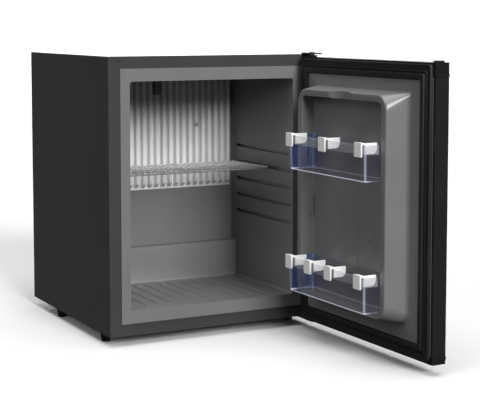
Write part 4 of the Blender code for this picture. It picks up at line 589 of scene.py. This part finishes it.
# Each row: half width, bottom, top, upper corners' radius, level above the door's inner face and lower
# corners' radius, in millimetres
LINER_ROWS = [
    (195.2, 13.6, 460.0, 1.0, -1.5, 1.0),
    (195.2, 13.6, 460.0, 1.0, 0.0, 1.0),
    (168.0, 30.0, 455.0, 4.0, 0.0, 4.0),
    (168.0, 30.0, 455.0, 4.0, 5.0, 4.0),
    (142.9, 54.2, 434.0, 5.0, 5.0, 22.0),
    (135.5, 64.0, 430.0, 26.0, CROWN_LEVEL, 26.0),
    (POCKET_HALF, POCKET_LOW, POCKET_TOP, 10.0, CROWN_LEVEL, 10.0),
    (POCKET_HALF, POCKET_LOW, POCKET_TOP, 10.0, POCKET_LEVEL, 10.0),
    (110.0, 78.0, 406.0, 4.0, POCKET_LEVEL, 4.0),
]
SOFT_CORNERS = [0.3, 2.0, 1.2, 3.0, 3.5, 2.6, 3.5]  # the fillet's reach at each row but the first and last


def door_liner():
    """Outlines along the filleted rows; where the top bridge is scooped out, a point's level is at most
    crown - depth + R - sqrt(R^2 - x^2), the lower part of a circle of radius R lying across the bridge."""
    rows = filleted(LINER_ROWS, SOFT_CORNERS)
    outline = rounded_rectangles(rows[:, :4], arc_steps=10, side_steps=46, low_radius=rows[:, 5])
    x, z = outline[..., 0], outline[..., 1]
    level = np.broadcast_to(rows[:, 4:5], x.shape)
    radius = ((SCOOP_WIDTH / 2) ** 2 + SCOOP_DEPTH ** 2) / (2 * SCOOP_DEPTH)
    reach = np.clip(x, -radius, radius)
    scoop = CROWN_LEVEL - SCOOP_DEPTH + radius - np.sqrt(radius ** 2 - reach ** 2)
    on_bridge = z > POCKET_TOP - 3.0
    level = np.where(on_bridge, np.minimum(level, scoop), level)
    return on_door(np.stack([x, level, z], -1) * MM)


skin("door_liner_skin", door_liner(), liner_plastic, "door", replaced=["door_liner"])

# %% [markdown]
# Three things stand on the pocket's surfaces. The first are the bosses, three pairs of upright ridges on its
# side walls, over which the bins' hooks slide down. The pair between the two bins is a spare one.

# %% Bosses
BOSSES = ((345.2, 2.4), (130.2, 2.4), (242.5, 3.4))  # top edge and height; the last pair is the spare one
BOSS_LENGTH, BOSS_WIDTH, BOSS_LEVEL = 36.0, 8.5, 30.0


def boss(side, top, proud):
    """Outlines in the wall's plane that start 1 mm inside it and shrink as they rise: x is the wall minus the
    height."""
    half = BOSS_WIDTH / 2
    low = top - BOSS_LENGTH
    rows = filleted([
        (half, low, top, 0.8, -1.0), (half, low, top, 0.8, proud),
        (half - 1.6, low + 1.6, top - 1.6, 0.5, proud),
    ], 0.7)
    outline = rounded_rectangles(rows[:, :4], arc_steps=4, side_steps=2)
    height = np.broadcast_to(rows[:, 4:5], outline.shape[:2])
    x = side * (POCKET_HALF - height)
    return on_door(np.stack([x, outline[..., 0] + BOSS_LEVEL, outline[..., 1]], -1) * MM)


for number, (top, proud) in enumerate(BOSSES):
    for side, word in ((1, "hinge"), (-1, "handle")):
        skin(f"bin_boss_{word}_{number + 1}", boss(side, top, proud), liner_plastic, "door")

# %% [markdown]
# The second is a broad low band down the pocket's middle. Its face leans a little, so that it takes the light
# otherwise than the flat around it.

# %% Centre band
BAND_HALF, BAND_SLOPE = 23.0, 0.05
BAND_EDGE, BAND_FACE = POCKET_LEVEL + 0.1, POCKET_LEVEL + 0.5


def centre_band():
    """A rounded rectangle whose face is a ramp: level = face + slope (x + half width)."""
    rows = filleted([
        (BAND_HALF, 100.0, 330.0, 6.0, POCKET_LEVEL - 1.0), (BAND_HALF, 100.0, 330.0, 6.0, BAND_EDGE),
        (BAND_HALF - 2.5, 102.5, 327.5, 5.0, BAND_FACE), (4.0, 119.0, 311.0, 3.0, BAND_FACE),
    ], [0.5, 3.0], 6)
    outline = rounded_rectangles(rows[:, :4], arc_steps=6, side_steps=12)
    x, z = outline[..., 0], outline[..., 1]
    on_face = smoothstep((rows[:, 4:5] - BAND_EDGE) / (BAND_FACE - BAND_EDGE))
    level = rows[:, 4:5] + BAND_SLOPE * on_face * (x + BAND_HALF)
    return on_door(np.stack([x, level, z], -1) * MM)


skin("door_centre_band", centre_band(), liner_plastic, "door")

# %% [markdown]
# The third are two small marks that the mould's pins left.

# %% Pin marks
PIN_RADIUS, PIN_HEIGHT = 3.0, 1.6
PIN_MARKS = ((40.0, 184.0), (-52.0, 184.0))


def pin_mark(x, z):
    """A low dome, part of an ellipsoid: level = height cos(a), distance from the middle = radius sin(a)."""
    a = np.linspace(np.pi * 0.6, 0.02, 8)[:, None]
    turn = np.linspace(0, 2 * np.pi, 24, endpoint=False)[None, :]
    across = PIN_RADIUS * np.sin(a)
    level = POCKET_LEVEL + PIN_HEIGHT * np.cos(a) + 0 * turn
    points = np.stack([x + across * np.cos(turn), level, z + across * np.sin(turn)], -1)
    return on_door(points * MM)


for number, (x, z) in enumerate(PIN_MARKS):
    skin(f"mould_pin_mark_{number + 1}", pin_mark(x, z), liner_plastic, "door")

# %% [markdown]
# ## The gasket
#
# A gasket is one extruded profile, cut at 45 degrees and welded at four corners: a flat base, a soft bulb
# with the magnet inside, and two thin ridges outside it. The profile is a closed line of points, carried
# round the plateau.

# %% Gasket
# Each point: distance out from the plateau's edge, level, in millimetres
GASKET_LINE = [
    (25.5, 0.4), (25.5, 3.0), (24.9, 3.0), (24.7, 4.6), (23.5, 4.6), (23.3, 3.0), (14.4, 3.0), (14.2, 4.6),
    (12.7, 4.6), (12.5, 3.0), (10.5, 3.0), (10.3, 7.6), (5.7, 8.2), (1.2, 7.6), (1.0, 3.0), (0.4, 3.0),
    (0.4, 0.4), (12.0, 0.4), (25.5, 0.4),
]
PLATEAU_HALF, PLATEAU_LOW, PLATEAU_TOP = LINER_ROWS[3][:3]


def gasket():
    """A closed ring of outlines: the profile's point (out, level) widens the plateau's outline by out."""
    out, level = filleted(GASKET_LINE, 1.1, 3)[:-1].T
    sizes = [PLATEAU_HALF + out, PLATEAU_LOW - out, PLATEAU_TOP + out, 1.0 + 0.15 * out]
    outline = rounded_rectangles(np.stack(sizes, -1), arc_steps=5, side_steps=3)
    height = np.broadcast_to(level[:, None], outline.shape[:2])
    return on_door(np.stack([outline[..., 0], height, outline[..., 1]], -1) * MM)


skin("door_gasket_profile", gasket(), soft_pvc, "door", ends="ring", replaced=["door_gasket"], sharp=50.0)

# %% [markdown]
# ## The cooling plate
#
# The plate is a wave across the width. Each rib has a flat crest, sloping flanks and a flat valley, all with
# soft corners, and at its lower end the rib sinks into the flat plate. Multiplying a function of x by a
# function of z gives exactly that.

# %% Cooling plate
RIBS, RIB_DEPTH, CREST, SLOPE = 22, 11.5, 6.2, 1.8
STEPS_PER_RIB = 26
PLATE_LOW, PLATE_HIGH = 223.0, 435.0
PLATE_FOOT, PLATE_MARGIN = 12.0, 2.0  # the ribs rise over the foot, above a flat margin
PLATE_HALF, OUTER_RIB = 154.2, 145.8
RIB_PITCH = 2 * OUTER_RIB / (RIBS - 1)
VALLEY_Y = 238.7
PLATE_THICKNESS = 1.0


def cooling_plate():
    """y = valley - depth * rib(x) * rise(z), rib being 1 on a crest and falling to 0 down its flank."""
    x = np.linspace(-PLATE_HALF, PLATE_HALF, RIBS * STEPS_PER_RIB + 1)[None, :]
    rise_z = PLATE_LOW + PLATE_FOOT * np.linspace(0, 1, 14)
    z = np.concatenate([rise_z, np.linspace(PLATE_LOW + PLATE_FOOT, PLATE_HIGH, 12)[1:]])[:, None]
    from_crest = np.abs(((x + OUTER_RIB) / RIB_PITCH + 0.5) % 1.0 - 0.5) * RIB_PITCH
    rib = smoothstep(1 - (from_crest - CREST / 2) / SLOPE) * (np.abs(x) < OUTER_RIB + RIB_PITCH / 2)
    rise = smoothstep((z - PLATE_LOW - PLATE_MARGIN) / (PLATE_FOOT - PLATE_MARGIN))
    front = VALLEY_Y - RIB_DEPTH * rib * rise
    front_face = np.stack([x + 0 * z, front, z + 0 * x], -1)
    back_face = front_face + np.array([0.0, PLATE_THICKNESS, 0.0])
    return in_cabinet(np.concatenate([front_face, back_face[:, ::-1]], 1) * MM)


plate_grid = cooling_plate()
skin("cooling_plate", plate_grid, silver_lacquer, "cabinet", replaced=["evaporator_plate"], sharp=60.0)

# %% [markdown]
# The plate hangs on a screw, whose pan head carries a cross recess.

# %% Screw head
SCREW_X, SCREW_Z = 76.37, 347.0
SEAT_Y = VALLEY_Y - RIB_DEPTH - 0.1  # just in front of the ribs' crests
HEAD_RADIUS, HEAD_HEIGHT, HEAD_SINK = 4.2, 3.0, 0.4
CROSS_DEPTH, CROSS_REACH, CROSS_HALF_WIDTH, CROSS_SLOPE = 1.6, 2.8, 0.95, 0.4


def screw_head():
    """Rings of radius r about the screw's axis: the front stands out by H sqrt(1 - (r/R)^4), less the depth
    of the cross where a point is near one of its two arms."""
    turn = np.linspace(0, 2 * np.pi, 96, endpoint=False)[None, :]
    r = np.concatenate([np.linspace(0.05, 3.9, 30), [4.1, HEAD_RADIUS, HEAD_RADIUS]])[:, None]
    x, z = r * np.cos(turn), r * np.sin(turn)
    from_arm = np.minimum(np.abs(x), np.abs(z))
    within_arm = smoothstep((CROSS_HALF_WIDTH - from_arm) / CROSS_SLOPE)
    recess = CROSS_DEPTH * within_arm * smoothstep((CROSS_REACH - r) / CROSS_SLOPE)
    proud = HEAD_HEIGHT * np.sqrt(np.clip(1 - (r / HEAD_RADIUS) ** 4, 0, 1)) - recess
    proud[-1] = -HEAD_SINK
    return in_cabinet(np.stack([SCREW_X + x, SEAT_Y - proud, SCREW_Z + z], -1) * MM)


skin("evaporator_screw_head", screw_head(), zinc, "cabinet", replaced=["evaporator_screw"], sharp=50.0)

# %% [markdown]
# ## The wire shelf
#
# A wire is a circle carried along a line. The long wires are straight with rounded ends, so their radius
# follows a half circle near each end. All thirty are the same wire, shifted by the pitch.

# %% Wires
SHELF_Z, SHELF_FRONT, SHELF_REAR = 270.8, 86.0, 215.0
FRAME_HALF, FRAME_RADIUS, FRAME_CORNER = 162.5, 1.6, 6.0


def tube(path, ahead, radius):
    """A circle at each point p of a level path: p + r (side cos a + up sin a), where side is square to the
    path's direction ahead."""
    up = np.array([0.0, 0.0, 1.0])
    side = np.cross(ahead, up)
    angle = np.linspace(0, 2 * np.pi, 14, endpoint=False)[None, :, None]
    radius = np.broadcast_to(radius, len(path))[:, None, None]
    return path[:, None] + radius * (side[:, None] * np.cos(angle) + up * np.sin(angle))


def straight_wire(start, end, radius):
    """A straight path whose radius is r sqrt(1 - s^2) over the last radius at either end."""
    start, end = np.array(start, float), np.array(end, float)
    length = np.linalg.norm(end - start)
    ahead = (end - start) / length
    cap = np.array([0.02, 0.3, 0.6, 0.85, 1.0])
    dome = radius * (1 - np.sqrt(1 - cap ** 2))
    along = np.concatenate([dome, length - dome[::-1]])
    path = start + ahead * along[:, None]
    return tube(path, np.broadcast_to(ahead, path.shape), radius * np.concatenate([cap, cap[::-1]]))


def frame_wire():
    """A rounded rectangle of wire. The path's direction at a point is taken from its two neighbours."""
    sizes = [(FRAME_HALF, SHELF_FRONT, SHELF_REAR, FRAME_CORNER)]
    loop = rounded_rectangles(sizes, arc_steps=8, side_steps=6)[0]
    path = np.concatenate([loop, np.full((len(loop), 1), SHELF_Z)], 1)
    ahead = np.roll(path, -1, 0) - np.roll(path, 1, 0)
    ahead /= np.linalg.norm(ahead, axis=1, keepdims=True)
    return tube(path, ahead, FRAME_RADIUS)


print("the frame is a ring of", len(frame_wire()), "circles")

# %% [markdown]
# The wires lie on the frame and sink into it a little where they are welded. One cross wire below holds them
# in the middle. All of them are joined into one object.

# %% Wire shelf
WIRES, WIRE_PITCH, WIRE_RADIUS, WIRE_OVERHANG = 30, 10.3, 1.0, 1.1
WELD_SINK = 0.4
CROSS_WIRE_HALF, CROSS_WIRE_RADIUS = 162.1, 1.4


def joined(name, grids, material, body):
    """Several closed skins become one object."""
    pieces = [skin(f"{name}_{i}", grid, material, body) for i, grid in enumerate(grids)]
    first = pieces[0]
    with bpy.context.temp_override(active_object=first, selected_editable_objects=pieces):
        bpy.ops.object.join()
    first.name = name
    print(name, "joins", len(grids), "skins")


level = SHELF_Z + FRAME_RADIUS + WIRE_RADIUS - WELD_SINK
front_end = (0, SHELF_FRONT - WIRE_OVERHANG, level)
rear_end = (0, SHELF_REAR + WIRE_OVERHANG, level)
wire = straight_wire(front_end, rear_end, WIRE_RADIUS)
shifts = (np.arange(WIRES) - (WIRES - 1) / 2) * WIRE_PITCH
grids = [in_cabinet((wire + np.array([shift, 0, 0])) * MM) for shift in shifts]
middle = (SHELF_FRONT + SHELF_REAR) / 2
left_end, right_end = (-CROSS_WIRE_HALF, middle, SHELF_Z), (CROSS_WIRE_HALF, middle, SHELF_Z)
cross_wire = straight_wire(left_end, right_end, CROSS_WIRE_RADIUS)
joined("shelf_wires", [*grids, in_cabinet(cross_wire * MM)], chrome, "shelf")
frame_grid = in_cabinet(frame_wire() * MM)
skin("shelf_frame", frame_grid, chrome, "shelf", ends="ring", replaced=["wire_shelf"])

# %% [markdown]
# ## The bins
#
# A bin is a cup with a rounded rectangular outline. Its walls lean in by 2 mm towards the floor so that it
# leaves the mould. The row of outlines runs up the outside, over the lip and down the inside to the floor.

# %% Bin cup
BIN_HALF, BIN_BACK, BIN_FRONT, BIN_HEIGHT, BIN_WALL, BIN_LEAN = 118.7, 24.1, 77.0, 60.0, 2.0, 2.0
FLOOR_RUN = 6.0  # from a wall to the first outline that lies flat in the floor
ARC_STEPS, SIDE_STEPS = 8, 10


def bin_cup(low):
    """Outlines in plan, each with its height: outside floor, wall, lip, inside wall, inside floor."""
    def ring(inset, radius, height):
        return (BIN_HALF - inset, BIN_BACK + inset, BIN_FRONT - inset, radius, low + height)
    lean, wall, top = BIN_LEAN, BIN_WALL, BIN_HEIGHT
    rows = filleted([
        ring(lean + FLOOR_RUN, 2.0, 0.0), ring(lean, 5.0, 0.0), ring(0.0, 5.0, top),
        ring(wall, 3.0, top), ring(lean + wall, 3.0, wall), ring(lean + wall + FLOOR_RUN, 1.0, wall),
    ], [3.0, 0.7, 0.7, 2.0])
    outline = rounded_rectangles(rows[:, :4], ARC_STEPS, SIDE_STEPS)
    height = np.broadcast_to(rows[:, 4:5], outline.shape[:2])
    return on_door(np.concatenate([outline, height[..., None]], -1) * MM)


print("a cup has", len(bin_cup(0.0)), "outlines")

# %% [markdown]
# The bin's edges get a painted highlight. An attribute on the cup's points tells the material where those
# edges
# are: at the four upright corners, round the floor and on the lip.

# %% Painted edge highlights
# The cup's outlines on the floor's curve and on the lip, and the strength of their painted highlight
EDGE_HIGHLIGHT_ROWS = ((2, 5, 1.0), (7, 15, 0.4))


def paint_edge_highlights(cup, grid):
    """Writes the attribute of the painted edge highlights: 0.5 sin(pi t) across each upright corner's arc, and
    the listed value on the curved rows. Both fade to a third towards the door, where the bin stands in shade."""
    arc = 0.5 * np.sin(np.pi * np.linspace(0, 1, ARC_STEPS + 1))
    once_round = np.tile(np.concatenate([arc, np.zeros(SIDE_STEPS)]), 4)
    edge = np.broadcast_to(once_round, grid.shape[:2]).copy()
    for first, last, glow in EDGE_HIGHLIGHT_ROWS:
        edge[first:last] = glow
    forward = (grid[..., 0].max() - grid[..., 0]) / np.ptp(grid[..., 0])
    edge *= 0.33 + 0.67 * smoothstep((forward - 0.55) / 0.3)
    values = np.concatenate([edge.ravel(), np.zeros(len(cup.data.vertices) - edge.size)])
    cup.data.attributes.new("edge", "FLOAT", "POINT").data.foreach_set("value", values)
    print(cup.name, "has", int((values > 0).sum()), "lit points")


# %% [markdown]
# The etched band round the rim is a thin strip of its own, one millimetre proud of the walls. It starts just
# in front of the door's ring and leaves the bin's back free.

# %% Rim band
RIM_HEIGHT, RIM_PROUD, RIM_THICKNESS, RIM_RADIUS = 15.5, 1.0, 1.3, 6.0
RIM_START = CROWN_LEVEL + 2.0


def bin_rim(low):
    """The etched band: a flat strip section carried along a U, out along one side, across the front and back
    along the other side, which mirrors the first."""
    reach = BIN_HALF + RIM_PROUD
    front = BIN_FRONT + RIM_PROUD
    turn = np.linspace(0, np.pi / 2, 9)
    corner_x = reach - RIM_RADIUS + RIM_RADIUS * np.cos(turn)
    corner_y = front - RIM_RADIUS + RIM_RADIUS * np.sin(turn)
    side_run = np.stack([np.full(5, reach), np.linspace(RIM_START, front - RIM_RADIUS, 6)[:-1]], -1)
    front_run = np.stack([np.linspace(reach - RIM_RADIUS, 0, 22)[1:], np.full(21, front)], -1)
    half = np.concatenate([side_run, np.stack([corner_x, corner_y], -1), front_run])
    path = np.concatenate([half, half[-2::-1] * np.array([-1, 1])])
    ahead = np.gradient(path, axis=0)
    ahead /= np.linalg.norm(ahead, axis=1, keepdims=True)
    inward = np.stack([-ahead[:, 1], ahead[:, 0]], -1)
    top = low + BIN_HEIGHT
    foot = top - RIM_HEIGHT
    section = filleted([(RIM_THICKNESS, foot), (0.0, foot), (0.0, top), (RIM_THICKNESS, top)], 0.5, 3)
    plan = path[:, None] + inward[:, None] * section[None, :, :1]
    height = np.broadcast_to(section[None, :, 1:], (*plan.shape[:2], 1))
    return on_door(np.concatenate([plan, height], -1) * MM)


print("a rim band has", len(bin_rim(0.0)), "sections")

# %% [markdown]
# A bin hangs by two hooks. Each is a roof that sits on a boss, with a rib before and behind it.

# %% Hooks
HOOK_REACH, HOOK_CHAMFER = 121.1, 0.3
# The roof and the two ribs, each from back to front and from bottom to top
HOOK_BLOCKS = ((24.2, 36.2, 55.5, 60.0), (24.2, 25.3, 6.0, 55.6), (34.7, 36.2, 6.0, 55.6))


def bin_hook(side, low):
    """The hook over the boss: three blocks, whose inner and outer faces are smaller all round than their
    middle by the chamfer."""
    inner, outer = BIN_HALF - 1.0, HOOK_REACH
    grids = []
    for back, front, bottom, top in HOOK_BLOCKS:
        half = (front - back) / 2
        face = (half - HOOK_CHAMFER, bottom + HOOK_CHAMFER, top - HOOK_CHAMFER, 0.1)
        waist = (half, bottom, top, 0.2, (inner + outer) / 2)
        rows = filleted([(*face, inner), waist, (*face, outer)], 0.2, 2)
        outline = rounded_rectangles(rows[:, :4], arc_steps=2, side_steps=1)
        across = np.broadcast_to(rows[:, 4:5], outline.shape[:2]) * side
        grid = np.stack([across, outline[..., 0] + (back + front) / 2, outline[..., 1] + low], -1)
        grids.append(on_door(grid * MM))
    return grids


print("a hook has", len(bin_hook(1, 0.0)), "blocks")

# %% [markdown]
# Both bins are alike and hang at two heights, so one loop makes them.

# %% Both bins
BIN_LOWS = {"upper_bin": 290.0, "lower_bin": 75.0}

for name, low in BIN_LOWS.items():
    grid = bin_cup(low)
    cup = skin(name + "_cup", grid, clear_blue, name, replaced=[name])
    paint_edge_highlights(cup, grid)
    skin(name + "_rim", bin_rim(low), frosted_rim, name)
    for side, word in ((1, "hinge"), (-1, "handle")):
        joined(f"{name}_hook_{word}", bin_hook(side, low), clear_blue, name)

# %% [markdown]
# ## The bottle clips
#
# A clip is a small white saddle. Its solid has the right folds, so it is dressed with a wider bevel than the
# steel: moulded polypropylene has edge radii of about half a millimetre.

# %% Clips
clips = [name for name in sorted(nodes) if "_clip_" in name]
for name in clips:
    dressed(name, white_pp, 0.45 * MM)
print("dressed", *clips)

# %% [markdown]
# ## Floor
#
# The floor is a white sweep that rises far behind the fridge. In the photo the white was cut out, so it
# throws no light back on the black sides: the sweep is hidden from bounced rays here for the same look.

# %% Floor
SWEEP_HALF, SWEEP_FRONT, SWEEP_BEND, SWEEP_TOP, SWEEP_RADIUS = 9.0, -9.0, 5.0, 7.0, 1.5


def studio_sheet(name, points, faces, material):
    """A sheet that lights up no other thing."""
    mesh = bpy.data.meshes.new(name)
    mesh.from_pydata(points, [], faces)
    mesh.shade_smooth()
    mesh.materials.append(material)
    sheet = bpy.data.objects.new(name, mesh)
    bpy.context.scene.collection.objects.link(sheet)
    sheet.visible_diffuse = False
    return sheet


# The sweep is a floor that bends up into a wall: y and z follow a line, a quarter circle and a line
bend = np.linspace(0, np.pi / 2, 16)
y = np.concatenate([[SWEEP_FRONT], SWEEP_BEND + SWEEP_RADIUS * np.sin(bend), [SWEEP_BEND + SWEEP_RADIUS]])
z = np.concatenate([[0.0], SWEEP_RADIUS - SWEEP_RADIUS * np.cos(bend), [SWEEP_TOP]])
points = [(x, *yz) for yz in zip(y.tolist(), z.tolist()) for x in (-SWEEP_HALF, SWEEP_HALF)]
faces = [(i, i + 1, i + 3, i + 2) for i in range(0, len(points) - 2, 2)]
paper, _, _ = finish("white_paper", Roughness=1.0, Specular_IOR_Level=0.0, Base_Color=linear("#ececec"))
floor = studio_sheet("studio_sweep", points, faces, paper)
floor.visible_glossy = False
print(floor.name, "with", len(points), "points")

# %% [markdown]
# ## Card and sky
#
# The steel top is seen so flatly that it mirrors what stands behind the fridge. A white card there, which
# the camera can't see, gives it its sheen. The sky is white too, and so weak that it only lifts the shadows.

# %% Card and sky
CARD_LEFT, CARD_RIGHT, CARD_LOW, CARD_TOP, CARD_Y = 1.0, 9.0, 0.55, 4.0, 5.4
glow, _, _ = finish("rear_card", Emission_Strength=1.3, Emission_Color=linear("#ffffff"))
corners = [
    (CARD_LEFT, CARD_Y, CARD_LOW), (CARD_RIGHT, CARD_Y, CARD_LOW),
    (CARD_RIGHT, CARD_Y, CARD_TOP), (CARD_LEFT, CARD_Y, CARD_TOP),
]
card = studio_sheet("rear_card", corners, [(0, 1, 2, 3)], glow)
card.visible_camera = False
card.visible_shadow = False

world = bpy.data.worlds.new("soft_sky")
world.use_nodes = True
sky = world.node_tree.nodes["Background"]
sky.inputs["Color"].default_value = linear("#ffffff")
sky.inputs["Strength"].default_value = 0.07
bpy.context.scene.world = world
bpy.context.scene.view_settings.view_transform = "Standard"
print(card.name, world.name)

# %% [markdown]
# ## Suns
#
# Three soft suns do the lighting. One stands high and whitens the floor, one in front reaches into the
# cabinet but not under its ceiling, and a weak one from the left models the door's inner side.

# %% Suns


def soft_sun(name, azimuth, elevation, spread, strength):
    """A sun seen from the fridge at an azimuth (0 in front, positive to the right) and an elevation."""
    data = bpy.data.lights.new(name, "SUN")
    data.angle = math.radians(spread)
    data.energy = strength
    lamp = bpy.data.objects.new(name, data)
    lamp.rotation_euler = (math.radians(90.0 - elevation), 0.0, math.radians(azimuth))
    bpy.context.scene.collection.objects.link(lamp)


soft_sun("high_sun", 0.0, 85.0, 60.0, 2.25)
soft_sun("front_sun", 0.0, 24.0, 24.0, 3.0)
soft_sun("left_sun", -78.0, 30.0, 40.0, 0.72)
print("suns", *[lamp.name for lamp in bpy.data.lights])

# %% [markdown]
# ## Camera
#
# The camera stands left of the fridge's middle, a little above its top, and looks slightly down. Its lens and
# its shift are written in pixels, because the straight edges in the picture give them so.

# %% Camera
CAMERA_PLACE = (-1.0562, -2.1003, 0.5655)
CAMERA_YAW, CAMERA_PITCH = math.radians(27.75), math.radians(5.10)
PICTURE_WIDTH, FOCAL_LENGTH, SHIFT = 480, 1328.8, -70
data = bpy.data.cameras.new("photo_camera")
data.sensor_width = 36.0
data.lens = FOCAL_LENGTH * data.sensor_width / PICTURE_WIDTH
data.shift_y = SHIFT / PICTURE_WIDTH
camera = bpy.data.objects.new("photo_camera", data)
camera.location = CAMERA_PLACE
camera.rotation_euler = (math.pi / 2 - CAMERA_PITCH, 0.0, -CAMERA_YAW)
bpy.context.scene.collection.objects.link(camera)
bpy.context.scene.camera = camera
print("lens", round(data.lens, 1), "mm")

# %% [markdown]
# ## Closing
#
# The script brings the finished scene up to date. Rounding an edge takes almost nothing away from the solids.

# %% Update the scene
bpy.context.view_layer.update()
